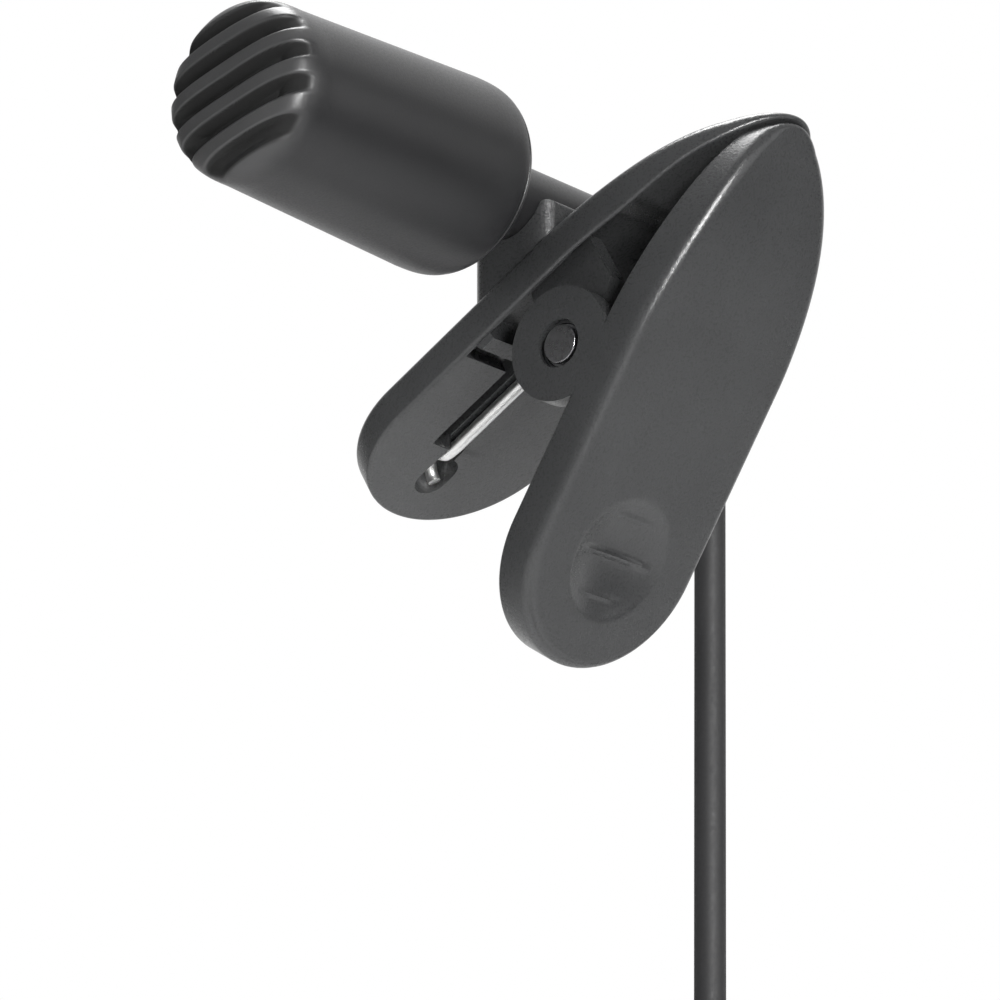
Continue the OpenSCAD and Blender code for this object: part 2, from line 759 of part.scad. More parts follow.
// A layer is climbed along the run where the spiral turns back.
function hank_climb(u) = layer_pitch * [for (k = 0, sum = 0; k <= 3; sum = sum + max(0, min(1,
    4 * (u - first_turn - k * loops_per_layer) + 0.5)), k = k + 1) sum][3];

// Place on the loop at u turns: down one run, round the lower fold, up
// the other run and round the upper fold.
function hank_point(u) =
    let (f = u - floor(u), r = hank_radius(u), half = hank_run / 2,
        step = 4 * f - floor(4 * f), z = half * (1 - 2 * step), a = 180 * step)
    let (flat = f < 0.25 ? [r - waist(z), z]
        : f < 0.5 ? [r * cos(a), -half - r * sin(a)]
        : f < 0.75 ? [waist(z) - r, -z]
        : [-r * cos(a), half + r * sin(a)])
    [neck_x + hank_climb(u), hank_y + flat.x, hank_mid_z + flat.y];

// A run takes 4 steps and a fold 8, so that a loop has 24 rings.
loop_steps = [for (k = [0:3]) k / 16, for (k = [0:7]) 0.25 + k / 32,
    for (k = [0:3]) 0.5 + k / 16, for (k = [0:7]) 0.75 + k / 32];
hank_stations = [for (turn = [0:ceil(hank_turns)], f = loop_steps)
    if (turn + f <= hank_turns) turn + f];
hank_path = concat([[neck_x, cord_y, hank_top_z + cord_d]],
    [for (u = hank_stations) hank_point(u)], [[tail_x, cord_y, tail_top_z]]);

module cord_hank() {
    color(rubber) placed() tube(hank_path, cord_r, hank_sides, [1, 0, 0]);
}

module cord_tail() {
    tail_end_z = plug_top_z - boot_len - boot_spigot;
    steps = 4;
    path = [for (k = [0:steps]) [tail_x, cord_y, tail_top_z + (tail_end_z - tail_top_z) * k / steps]];
    color(rubber) placed() tube(path, cord_r, cord_sides, [1, 0, 0]);
}

// A strap round the hank's waist.
module hank_tie() {
    clear = 0.15;
    widest = hank_fold + loops_per_layer * loop_pitch - waist(tie_w / 2);
    long = 2 * (widest + cord_r + clear);
    deep = 3 * layer_pitch + cord_d + 2 * clear;
    corner = 1;
    color("#454547") placed()
        translate([neck_x + 1.5 * layer_pitch, hank_y, hank_mid_z - tie_w / 2])
            linear_extrude(tie_w) difference() {
                rounded_plan(deep + 2 * tie_t, long + 2 * tie_t, corner + tie_t);
                rounded_plan(deep, long, corner);
            }
}

// ================= plug =================

// Turns a profile of [radius, depth] about the plug's axis, downwards.
module plug_turned(profile) {
    placed() translate([tail_x, cord_y, plug_top_z]) mirror([0, 0, 1])
        rotate_extrude($fn = 64) polygon(profile);
}

grip_top = boot_len;
grip_end = boot_len + grip_len;
contact_top = grip_end + flange_t;
ring_top = contact_top + barrel_len + insulator_len;
tip_top = ring_top + ring_len + insulator_len;
contact_r = plug_d / 2;
core_r = 0.9;
core_top = boot_len + boot_spigot;
sleeve_bore = core_r + 0.3;
grip_bore = grip_d / 2 - grip_wall;
flange_r = grip_bore + 0.3;
collar_t = 0.8;
collar_neck_r = contact_r + 0.35;

module plug_boot() {
    bore = cord_r + cord_fit;
    top_r = bore + 0.8;
    low_r = bore + 1.7;
    ribs = 4;
    rib_pitch = (boot_len - 2) / ribs;
    cut = 0.35;
    outside = [for (k = [0:ribs - 1]) let (z = 1 + k * rib_pitch, r = top_r + (low_r - top_r) * z / boot_len)
        each [[r, z], [r - cut, z + 0.1], [r - cut, z + 0.5 * rib_pitch], [r, z + 0.5 * rib_pitch + 0.1]]];
    color(rubber) plug_turned(concat([[bore, 0], [top_r, 0]], outside, [[low_r, boot_len],
        [grip_bore, boot_len], [grip_bore, core_top], [bore, core_top]]));
}

module plug_grip() {
    r = grip_d / 2;
    chamfer = 0.6;
    taper_len = 2;
    taper = 0.5;
    color(plastic) plug_turned([[grip_bore, grip_top], [r - chamfer, grip_top],
        [r, grip_top + chamfer], [r, grip_end - taper_len], [r - taper, grip_end],
        [grip_bore, grip_end]]);
}

// The long contact: a collar and a stud inside the grip, a flange under
// the grip's end, and the barrel that goes into the socket.
module plug_sleeve() {
    color(steel) plug_turned([[sleeve_bore, core_top], [grip_bore, core_top],
        [grip_bore, core_top + collar_t], [collar_neck_r, core_top + collar_t],
        [collar_neck_r, grip_end - sleeve_stud], [grip_bore, grip_end - sleeve_stud],
        [grip_bore, grip_end], [flange_r, grip_end], [flange_r, contact_top],
        [contact_r, contact_top], [contact_r, contact_top + barrel_len],
        [sleeve_bore, contact_top + barrel_len]]);
}

module ring_insulator() {
    color("black") plug_turned([[rod_r, core_top], [sleeve_bore, core_top],
        [sleeve_bore, ring_top - insulator_len], [contact_r, ring_top - insulator_len],
        [contact_r, ring_top], [rod_r, ring_top]]);
}

module plug_ring() {
    color(steel) plug_turned([[core_r, ring_top], [contact_r, ring_top],
        [contact_r, ring_top + ring_len], [core_r, ring_top + ring_len]]);
}

module tip_insulator() {
    color("black") plug_turned([[rod_r, ring_top], [core_r, ring_top],
        [core_r, ring_top + ring_len], [contact_r, ring_top + ring_len],
        [contact_r, tip_top], [rod_r, tip_top]]);
}

// The tip contact: a waist that the socket's spring finds, a rounded
// nose, and the rod that runs back through the whole plug.
module plug_tip() {
    waist_r = contact_r - 0.55;
    nose = tip_top + tip_len;
    color(steel) plug_turned([[0, core_top], [rod_r, core_top], [rod_r, tip_top],
        [contact_r - 0.1, tip_top], [waist_r, tip_top + 0.35 * tip_len],
        [contact_r - 0.05, tip_top + 0.6 * tip_len], [contact_r - 0.2, tip_top + 0.75 * tip_len],
        [contact_r - 0.8, tip_top + 0.92 * tip_len], [0.5, nose], [0, nose]]);
}

echo(hank_least_gap = least_spacing(hank_path, 6) - cord_d);
echo(spring_least_gap = min([for (i = [len(hook) + 2:len(spring_path) - 4 - rings_per_curl])
    norm(spring_path[i + rings_per_curl] - spring_path[i])]) - wire_d);
echo(cord_length = path_length([for (p = drop_route) [0, p.x, p.y]]) + path_length(hank_path)
    + tail_len + core_top);

back_leaf();
front_leaf();
hinge_pin();
clip_spring();
mic_housing();
dust_cloth();
insert_felt();
insert_can();
insert_board();
insert_sleeve();
lead_wires();
rear_cap();
cord_crimp();
cord_in_neck();
strain_relief();
cord_drop();
cord_hank();
cord_tail();
hank_tie();
plug_boot();
plug_grip();
plug_sleeve();
plug_ring();
plug_tip();
ring_insulator();
tip_insulator();
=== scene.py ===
"""Lavalier microphone in its spring clip: finishes, cord, fine surfaces and studio."""

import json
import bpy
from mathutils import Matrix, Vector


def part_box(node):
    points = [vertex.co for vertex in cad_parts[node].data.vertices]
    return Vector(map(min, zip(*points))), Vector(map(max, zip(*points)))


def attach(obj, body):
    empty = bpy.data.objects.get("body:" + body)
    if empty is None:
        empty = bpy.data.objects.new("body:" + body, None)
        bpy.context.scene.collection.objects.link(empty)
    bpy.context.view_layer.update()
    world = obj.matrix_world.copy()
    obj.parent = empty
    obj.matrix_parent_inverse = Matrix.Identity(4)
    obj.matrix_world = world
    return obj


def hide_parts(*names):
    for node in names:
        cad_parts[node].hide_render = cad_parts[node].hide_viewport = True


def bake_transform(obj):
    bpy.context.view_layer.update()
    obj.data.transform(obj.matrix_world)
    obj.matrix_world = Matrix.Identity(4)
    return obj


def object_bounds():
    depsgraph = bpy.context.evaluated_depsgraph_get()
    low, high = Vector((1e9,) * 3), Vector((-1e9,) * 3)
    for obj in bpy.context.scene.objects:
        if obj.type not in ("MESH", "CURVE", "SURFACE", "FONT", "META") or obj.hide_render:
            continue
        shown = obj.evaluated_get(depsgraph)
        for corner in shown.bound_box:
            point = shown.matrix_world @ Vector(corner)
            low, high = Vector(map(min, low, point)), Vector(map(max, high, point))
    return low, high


bl_info = {
    "name": "Clip Microphone",
    "version": (1, 0, 0),
    "blender": (4, 5, 0),
    "location": "View3D > Sidebar > Clip Microphone",
    "description": "Builds the surfaces, finishes and studio of a small clip-on microphone",
    "category": "Object",
}

import bmesh
import bpy
import numpy as np
from mathutils import Matrix

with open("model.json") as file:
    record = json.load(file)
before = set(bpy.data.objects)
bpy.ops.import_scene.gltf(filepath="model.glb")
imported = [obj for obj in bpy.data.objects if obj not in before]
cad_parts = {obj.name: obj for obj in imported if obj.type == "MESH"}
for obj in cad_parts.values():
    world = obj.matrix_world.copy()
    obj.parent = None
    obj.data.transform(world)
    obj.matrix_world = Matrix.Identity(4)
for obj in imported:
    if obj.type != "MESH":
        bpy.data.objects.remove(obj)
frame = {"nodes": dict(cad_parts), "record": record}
CAD_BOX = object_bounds()

# Shapes are worked out in millimetres and turned into metres by add_piece.
MM = 0.001


def box_mm(node):
    """The lowest and the highest corner of a CAD node, in millimetres."""
    low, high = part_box(node)
    return np.array(low) / MM, np.array(high) / MM


def centre_mm(node):
    """The middle of a CAD node's box, in millimetres."""
    low, high = box_mm(node)
    return (low + high) / 2


PIN = centre_mm("hinge_pin")
PIN_LOW, PIN_HIGH = box_mm("hinge_pin")
PIN_RADIUS = (PIN_HIGH[2] - PIN_LOW[2]) / 2
NECK = centre_mm("mic_housing")
CORD_EXIT = np.array([NECK[0], box_mm("strain_relief")[1][1], NECK[2]])


# ---------------------------------------------------------------- settings


def length(name, text, default_mm):
    """A length property, shown in the scene's units and kept in metres."""
    return bpy.props.FloatProperty(name=name, description=text, default=default_mm * MM,
                                   min=0.0, unit="LENGTH", precision=5)


def colour(name, text, value):
    """A colour property."""
    return bpy.props.FloatVectorProperty(name=name, description=text, default=value,
                                         size=3, min=0.0, max=1.0, subtype="COLOR")


def share(name, text, value):
    """A property from 0 to 1."""
    return bpy.props.FloatProperty(name=name, description=text, default=value,
                                   min=0.0, max=1.0, subtype="FACTOR")


def angle(name, text, degrees):
    """An angle property, kept in radians."""
    return bpy.props.FloatProperty(name=name, description=text,
                                   default=float(np.radians(degrees)), subtype="ANGLE")


def watts(name, text, value):
    """The power of a lamp."""
    return bpy.props.FloatProperty(name=name, description=text, default=value,
                                   min=0.0, unit="POWER")


class CordSettings(bpy.types.PropertyGroup):
    """Sizes of the cord and of the hank that it is folded into."""

    diameter: length("Cord diameter", "Outer diameter of the cord's jacket", 2.1)
    run: length("Hank run", "Straight length between the hank's folds", 30.0)
    fold: length("Innermost fold", "Radius of the hank's innermost fold", 6.0)
    loop_pitch: length("Loop pitch", "Spacing of neighbouring loops in a layer", 2.8)
    layer_pitch: length("Layer pitch", "Spacing of the hank's layers", 2.55)
    waist: length("Waist", "How far the loops are drawn in by the tie", 4.4)
    whole: length("Cord length", "Real length of the cord", 1800.0)


class ClipSettings(bpy.types.PropertyGroup):
    """Sizes of the clip's two leaves, its hinge, spring and cradle."""

    width: length("Width", "Width of both leaves", 15.0)
    back_tilt: angle("Back tilt", "Angle of the back leaf above the horizontal", 29.6)
    front_tilt: angle("Front tilt", "Angle of the front leaf above the horizontal", 57.0)
    back_inner: length("Back inner face", "Pin axis to the back leaf's inner face", 4.7)
    jaw_rise: length("Jaw rise", "Rise of the back leaf's inner face towards its tip", 0.65)
    back_thick: length("Back thickness", "Thickness of the back leaf", 2.6)
    front_inner: length("Front inner face", "Pin axis to the front leaf's inner face", 2.7)
    front_thick: length("Front thickness", "Thickness of the front leaf", 3.0)
    tip: length("Tip thickness", "Thickness of each leaf at its jaw tip", 0.4)
    jaw: length("Jaw length", "Pin axis to the jaw tips", 18.6)
    back_handle: length("Back handle", "Pin axis to the end of the back handle", 19.9)
    front_handle: length("Front handle", "Pin axis to the end of the front handle", 18.5)
    edge: length("Edge rounding", "Rounding of the leaves' outer edges", 0.8)
    jaw_gap: length("Jaw gap", "Closed gap between the jaws", 0.1)
    pad: length("Pad height", "Height of the raised pads beside the hinge", 0.4)
    ear: length("Ear radius", "Radius of the front leaf's ears", 3.75)
    ear_width: length("Ear thickness", "Thickness of each ear", 1.4)
    channel: length("Channel depth", "Depth of the channels for the spring's legs", 0.7)
    wire: length("Wire", "Wire diameter of the spring", 0.86)
    scoop: length("Scoop radius", "Radius of the thumb scoop at the surface", 4.1)
    scoop_depth: length("Scoop depth", "Depth of the thumb scoop", 1.0)
    scoop_place: length("Scoop place", "Pin axis to the middle of the scoop", 10.9)
    ridge_pitch: length("Ridge pitch", "Spacing of the ridges in the scoop", 2.7)
    ridge: length("Ridge height", "Height of the ridges in the scoop", 0.3)
    cradle_bore: length("Cradle bore", "Radius of the cradle's seat", 2.61)
    cradle_wall: length("Cradle wall", "Wall of the cradle round the neck", 0.8)
    cradle_near: length("Cradle front", "Middle of the clip to the cradle's near end", 7.2)
    cradle_far: length("Cradle back", "Middle of the clip to the cradle's far end", 5.2)
    cradle_corner: length("Cradle corner", "Rounding of the cradle's upright corners", 2.0)
    mouth_from: angle("Mouth start", "Edge of the cradle's mouth on the jaw side", -15.0)
    mouth_to: angle("Mouth end", "Edge of the cradle's mouth on the handle side", 140.0)


class HeadSettings(bpy.types.PropertyGroup):
    """Sizes of the microphone head."""

    front: length("Front diameter", "Diameter where the dome begins", 11.5)
    rear: length("Rear diameter", "Diameter where the rear rounding begins", 12.85)
    dome: length("Dome", "Length of the front dome", 3.6)
    shoulder: length("Shoulder", "Length of the rear rounding", 3.1)
    groove_pitch: length("Groove pitch", "Spacing of the sound grooves", 2.1)
    groove_depth: length("Groove depth", "Depth of the grooves at the crown", 1.5)
    groove_seen: length("Groove to cloth", "Depth at which the dust cloth closes a groove", 1.1)
    grooves: bpy.props.IntProperty(name="Grooves", description="Number of sound grooves",
                                   default=5, min=1, max=7)
    groove_turn: angle("Groove turn", "Turn of the grooves about the head's axis", 15.0)
    cap_rim: length("Cap rim", "Length of the rear cap's visible rim", 1.3)
    bore: length("Bore", "Radius of the housing's bore", 4.9)
    spigot: length("Spigot", "Radius of the rear cap's spigot", 4.87)
    neck: length("Neck", "Diameter of the neck", 5.1)
    fillet: length("Neck fillet", "Rounding where the neck meets the cap", 0.5)


class FinishSettings(bpy.types.PropertyGroup):
    """Colours and gloss of the object's finishes."""

    clip: colour("Clip", "Moulded plastic of both leaves", (0.047, 0.048, 0.049))
    head: colour("Head", "Moulded plastic of the microphone's head", (0.015, 0.015, 0.016))
    # Painted light: the ribs are given a lighter tone towards the dome's front, where light falls on
    # them, not a rubbed finish.
    ribs: colour("Ribs", "Rubbed plastic of the ribs between the grooves", (0.054, 0.054, 0.055))
    # This colour is also painted over the housing's grooves, as painted shade on their walls.
    cloth: colour("Dust cloth", "Cloth behind the sound grooves", (0.01, 0.01, 0.01))
    cord: colour("Cord", "Jacket of the cord", (0.022, 0.022, 0.023))
    steel: colour("Spring steel", "Drawn wire of the spring", (0.9, 0.9, 0.89))
    pin: colour("Pin", "Blackened hinge pin", (0.42, 0.42, 0.43))
    clip_gloss: share("Clip roughness", "Roughness of the leaves", 0.30)
    head_gloss: share("Head roughness", "Roughness of the head", 0.40)


class StudioSettings(bpy.types.PropertyGroup):
    """Light and camera of the studio."""

    ambient: share("Ambient", "Strength of the surrounding light on dull surfaces", 0.22)
    near: share("Near side", "Brightness of the surroundings on the near side", 0.12)
    key: watts("Top light", "Power of the lamp above", 3.0)
    strip: watts("Strip light", "Power of the slim lamp in front", 0.3)
    edge: watts("Edge light", "Power of the lamp that shows in the edges", 0.75)
    side: watts("Side light", "Power of the lamp at the jaws' side", 0.11)
    front: watts("Front light", "Power of the lamp before the head", 0.34)
    fill: watts("Low light", "Power of the soft lamp below", 0.14)
    lens: bpy.props.FloatProperty(name="Lens", description="Focal length in millimetres",
                                  default=180.0, min=10.0)


class Sizes:
    """The lengths of a settings group, in millimetres."""

    def __init__(self, settings):
        for field in settings.bl_rna.properties:
            if getattr(field, "unit", None) == "LENGTH":
                setattr(self, field.identifier, getattr(settings, field.identifier) / MM)


# ------------------------------------------------------------ mesh helpers

# Points nearer than this are merged, and shorter edges are dissolved, in millimetres.
MERGE, DEGENERATE = 0.002, 0.001


def grid_faces(rows, cols):
    """Quads of a grid of rows x cols points, each of whose rows closes to a loop."""
    r = cols * np.arange(rows - 1)[:, None]
    c = np.arange(cols)[None, :]
    c2 = (c + 1) % cols
    return np.stack([r + c, r + cols + c, r + cols + c2, r + c2], axis=-1).reshape(-1, 4)


def tube_surface(path, radius, sides, sideways=(1.0, 0.0, 0.0)):
    """A round tube with flat ends: each ring of the path is
    p + r (cos a u + sin a v), where v and u are square to the path and u is
    as near as possible to one steady sideways vector."""
    step = np.gradient(path, axis=0)
    ahead = step / np.linalg.norm(step, axis=1, keepdims=True)
    u = np.asarray(sideways) - (ahead @ np.asarray(sideways))[:, None] * ahead
    u /= np.linalg.norm(u, axis=1, keepdims=True)
    v = np.cross(ahead, u)
    a = np.linspace(0, 2 * np.pi, sides, endpoint=False)
    rings = (path[:, None] + radius * (np.cos(a)[None, :, None] * u[:, None]
                                       + np.sin(a)[None, :, None] * v[:, None]))
    points = rings.reshape(-1, 3)
    faces = grid_faces(len(path), sides)[:, ::-1].tolist()
    first = list(range(sides))
    last = [len(points) - 1 - k for k in range(sides)]
    return points, faces + [first, last]


def spline(points, per_span):
    """Catmull-Rom curve through given points, with per_span steps to each span."""
    p = np.vstack([2 * points[0] - points[1], points, 2 * points[-1] - points[-2]])
    t = (np.arange(per_span) / per_span)[None, :, None]
    a, b, c, d = (p[k:len(p) - 3 + k, None] for k in range(4))
    curve = 0.5 * (2 * b + (c - a) * t + (2 * a - 5 * b + 4 * c - d) * t ** 2
                   + (3 * b - a - 3 * c + d) * t ** 3)
    return np.vstack([curve.reshape(-1, points.shape[1]), points[-1]])


def shade(piece, most):
    """Smooth shading, with sharp edges where faces meet at more than most degrees."""
    piece.data.polygons.foreach_set("use_smooth", np.ones(len(piece.data.polygons), bool))
    piece.data.set_sharp_from_angle(angle=np.radians(most))


def add_piece(name, points, faces, slot, smooth_angle=40.0):
    """Makes an object at the origin from points in millimetres, with its slot's
    finish and smooth shading up to smooth_angle degrees."""
    mesh = bpy.data.meshes.new(name)
    mesh.from_pydata((np.asarray(points) * MM).tolist(), [], [list(f) for f in faces])
    mesh.validate()
    mesh.materials.append(FINISHES[slot])
    piece = bpy.data.objects.new(name, mesh)
    shade(piece, smooth_angle)
    bpy.context.scene.collection.objects.link(piece)
    return piece


def mend(piece):
    """Merges doubles, drops faces without area and turns all faces outwards."""
    mesh = bmesh.new()
    mesh.from_mesh(piece.data)
    bmesh.ops.remove_doubles(mesh, verts=mesh.verts, dist=MERGE * MM)
    bmesh.ops.dissolve_degenerate(mesh, edges=mesh.edges, dist=DEGENERATE * MM)
    bmesh.ops.recalc_face_normals(mesh, faces=mesh.faces)
    mesh.to_mesh(piece.data)
    mesh.free()


# --------------------------------------------------------------- materials

# Most values of a noise lie between these two.
NOISE_LOW, NOISE_HIGH = 0.3, 0.7


def new_material(name):
    """A material with its nodes, its links and its main shader."""
    material = bpy.data.materials.new(name)
    material.use_nodes = True
    tree = material.node_tree
    return material, tree, tree.nodes["Principled BSDF"]


def object_noise(tree, scale, detail=2.0, roughness=0.5):
    """Noise in Object coordinates; scale counts features per metre."""
    where = tree.nodes.new("ShaderNodeTexCoord")
    noise = tree.nodes.new("ShaderNodeTexNoise")
    noise.inputs["Scale"].default_value = scale
    noise.inputs["Detail"].default_value = detail
    noise.inputs["Roughness"].default_value = roughness
    tree.links.new(where.outputs["Object"], noise.inputs["Vector"])
    return noise.outputs["Fac"]


def worked_out(tree, operation, *values, kind="ShaderNodeMath"):
    """The result of a math node on numbers, vectors or other nodes' outputs."""
    node = tree.nodes.new(kind)
    node.operation = operation
    for socket, value in zip(node.inputs, values):
        if isinstance(value, bpy.types.NodeSocket):
            tree.links.new(value, socket)
        else:
            socket.default_value = value
    return node.outputs["Value"]


def attribute(tree, name):
    """The value of a point attribute."""
    node = tree.nodes.new("ShaderNodeAttribute")
    node.attribute_name = name
    return node.outputs["Fac"]


def tinted(tree, fac, base, spread):
    """The base colour, made darker and lighter by a share as a noise rises."""
    ramp = tree.nodes.new("ShaderNodeValToRGB")
    for element, factor, place in zip(ramp.color_ramp.elements, (1 - spread, 1 + spread),
                                      (NOISE_LOW, NOISE_HIGH)):
        element.position = place
        element.color = [c * factor for c in base] + [1.0]
    tree.links.new(fac, ramp.inputs["Fac"])
    return ramp.outputs["Color"]


def ranged(tree, fac, low, high, start=NOISE_LOW, end=NOISE_HIGH, interpolation="LINEAR"):
    """fac from start to end carried to the range from low to high."""
    node = tree.nodes.new("ShaderNodeMapRange")
    node.interpolation_type = interpolation
    for name, value in (("From Min", start), ("From Max", end), ("To Min", low), ("To Max", high)):
        node.inputs[name].default_value = value
    tree.links.new(fac, node.inputs["Value"])
    return node.outputs["Result"]


def bumped(tree, shader, height, distance):
    """Drives the shader's normal from a height, distance metres deep."""
    bump = tree.nodes.new("ShaderNodeBump")
    bump.inputs["Distance"].default_value = distance
    tree.links.new(height, bump.inputs["Height"])
    tree.links.new(bump.outputs["Normal"], shader.inputs["Normal"])


def mixed(tree, fac, first, second):
    """The first colour, turned into the second as fac goes from 0 to 1."""
    mix = tree.nodes.new("ShaderNodeMix")
    mix.data_type = "RGBA"
    mix.inputs["B"].default_value = (*second, 1.0)
    tree.links.new(fac, mix.inputs["Factor"])
    tree.links.new(first, mix.inputs["A"])
    return mix.outputs["Result"]


def marked(tree, shader, tone, marks, roughness, sway, depth):
    """Gives the shader its tone, and a roughness and a bump that follow the marks."""
    tree.links.new(tone, shader.inputs["Base Color"])
    tree.links.new(ranged(tree, marks, roughness - sway, roughness + sway),
                   shader.inputs["Roughness"])
    bumped(tree, shader, marks, depth)


def moulded_plastic(name, base, roughness, grain=5500.0, depth=0.00002):
    """Fine-grained moulded plastic: a spark-eroded grain that its gloss follows,
    and slow changes of tone."""
    material, tree, shader = new_material(name)
    fine = object_noise(tree, grain, detail=3.0, roughness=0.6)
    tone = tinted(tree, object_noise(tree, 180.0), base, spread=0.06)
    marked(tree, shader, tone, fine, roughness, sway=0.07, depth=depth)
    return material


def head_plastic(look):
    """The head's plastic, with painted light on the ribs: a lighter tone towards the front (attribute
    ribs).
    The grooves get the dust cloth's dull dark colour, in part as painted shade (attribute cloth)."""
    material = moulded_plastic("head_plastic", look.head, look.head_gloss, 7000.0, 0.000008)
    tree = material.node_tree
    inputs = tree.nodes["Principled BSDF"].inputs
    tone, gloss = (inputs[name].links[0].from_socket for name in ("Base Color", "Roughness"))
    cloth = attribute(tree, "cloth")
    # Painted light: the ribs are made lighter towards the dome's front.
    rib_lit = mixed(tree, attribute(tree, "ribs"), tone, look.ribs)
    # Painted shade: the grooves are darkened to the cloth's colour.
    tree.links.new(mixed(tree, cloth, rib_lit, look.cloth), inputs["Base Color"])
    tree.links.new(worked_out(tree, "MAXIMUM", cloth, gloss), inputs["Roughness"])
    return material


def metal(name, base, roughness):
    """Plain metal with fine tool or draw marks."""
    material, tree, shader = new_material(name)
    shader.inputs["Metallic"].default_value = 1.0
    marks = object_noise(tree, 4000.0, detail=4.0)
    tone = tinted(tree, marks, base, spread=0.05)
    marked(tree, shader, tone, marks, roughness, sway=0.06, depth=0.000002)
    return material


def gloss_plastic(name, base, roughness):
    """Smooth hard plastic or lacquer with faint waviness."""
    material, tree, shader = new_material(name)
    wavy = object_noise(tree, 900.0)
    tone = tinted(tree, wavy, base, spread=0.08)
    marked(tree, shader, tone, wavy, roughness, sway=0.04, depth=0.000004)
    return material


def woven(name, base, bands_per_metre, depth):
    """A fine plain weave: two sets of bands across each other."""
    material, tree, shader = new_material(name)
    where = tree.nodes.new("ShaderNodeTexCoord")
    heights = []
    for direction in ("X", "Z"):
        wave = tree.nodes.new("ShaderNodeTexWave")
        wave.bands_direction = direction
        wave.inputs["Scale"].default_value = bands_per_metre
        tree.links.new(where.outputs["Object"], wave.inputs["Vector"])
        heights.append(wave.outputs["Fac"])
    both = worked_out(tree, "MULTIPLY", *heights)
    tree.links.new(tinted(tree, both, base, spread=0.35), shader.inputs["Base Color"])
    shader.inputs["Roughness"].default_value = 0.9
    bumped(tree, shader, both, depth)
    return material


FINISHES = {}


def make_finishes(look):
    """Makes the finish of each of the record's material slots."""
    FINISHES.update({
        "clip": moulded_plastic("clip_plastic", look.clip, look.clip_gloss),
        "housing": head_plastic(look),
        "pin": metal("pin_steel", look.pin, 0.3),
        "spring": metal("spring_wire", look.steel, 0.42),
        "cloth": woven("dust_cloth", look.cloth, 5000.0, 0.00003),
        "felt": woven("felt_disc", (0.16, 0.16, 0.16), 3000.0, 0.00004),
        "can": metal("insert_aluminium", (0.72, 0.72, 0.74), 0.28),
        "board": gloss_plastic("board_green", (0.02, 0.11, 0.05), 0.3),
        "sleeve": moulded_plastic("soft_rubber", (0.016, 0.016, 0.016), 0.6, 5000.0, 0.000006),
        "leads": gloss_plastic("lead_red", (0.4, 0.03, 0.02), 0.35),
        "crimp": metal("crimp_brass", (0.72, 0.5, 0.2), 0.3),
        "cord": moulded_plastic("cord_jacket", look.cord, 0.64, 3500.0, 0.000006),
        "tie": woven("tie_strap", (0.03, 0.03, 0.031), 1600.0, 0.00008),
        "grip": moulded_plastic("plug_plastic", (0.018, 0.018, 0.018), 0.42, 6000.0, 0.000008),
        "contact": metal("contact_nickel", (0.82, 0.8, 0.75), 0.16),
        "insulator": gloss_plastic("insulator_black", (0.01, 0.01, 0.01), 0.25),
    })


# -------------------------------------------------------------------- cord

# Listed route from the exit: [along Y, along Z], in millimetres, and steps to a span.
DROP_ROUTE = np.array([
    [0.03, 0], [0.4, 0], [1.7, -0.2], [2.9, -0.7], [3.9, -1.4], [4.6, -2.5], [5.1, -3.6],
    [5.3, -5], [5.2, -10], [5.1, -15], [5, -20], [4.9, -25], [4.8, -30], [4.7, -35],
    [4.6, -40], [4.5, -45], [4.4, -50], [4.3, -55], [4.2, -60], [4.1, -65], [4.1, -70],
    [4.1, -74]])
DROP_STEPS = 8
# Loops in a layer of the hank, turns from its start to the innermost fold, climbs to
# a next layer, and steps to a turn.
LOOPS_PER_LAYER, FIRST_TURN, CLIMBS, TURN_STEPS = 3.5, 3.125, 3, 96
TAIL_STEPS, CORD_SIDES = 8, 14


def hank_path(cord, top, cord_y):
    """Centre line of the hank. The loop's radius falls and rises by one
    pitch a turn, each loop is a run down, a half circle, a run up and a half
    circle, the runs are drawn in as cos squared of the height, and a layer is
    climbed along the run where the spiral turns back."""
    run = cord.run
    middle_y = cord_y - cord.fold - FIRST_TURN * cord.loop_pitch
    middle_z = top - run / 2
    turns = 2 * (FIRST_TURN + LOOPS_PER_LAYER)
    u = np.arange(int(round(turns * TURN_STEPS)) + 1) / TURN_STEPS
    radius = cord.fold + cord.loop_pitch * np.abs(
        (u - FIRST_TURN + 3 * LOOPS_PER_LAYER) % (2 * LOOPS_PER_LAYER) - LOOPS_PER_LAYER)
    climb = cord.layer_pitch * sum(
        np.clip(4 * (u - FIRST_TURN - k * LOOPS_PER_LAYER) + 0.5, 0, 1) for k in range(CLIMBS))
    quarter = (4 * (u % 1)).astype(int)
    step = 4 * (u % 1) - quarter
    z = run / 2 * (1 - 2 * step)
    drawn = cord.waist * np.cos(np.pi * z / run) ** 2
    a = np.pi * step
    aside, beyond = radius * np.cos(a), run / 2 + radius * np.sin(a)
    across = np.choose(quarter, [radius - drawn, aside, drawn - radius, -aside])
    up = np.choose(quarter, [z, -beyond, -z, beyond])
    return np.stack([NECK[0] + climb, middle_y + across, middle_z + up], axis=-1)


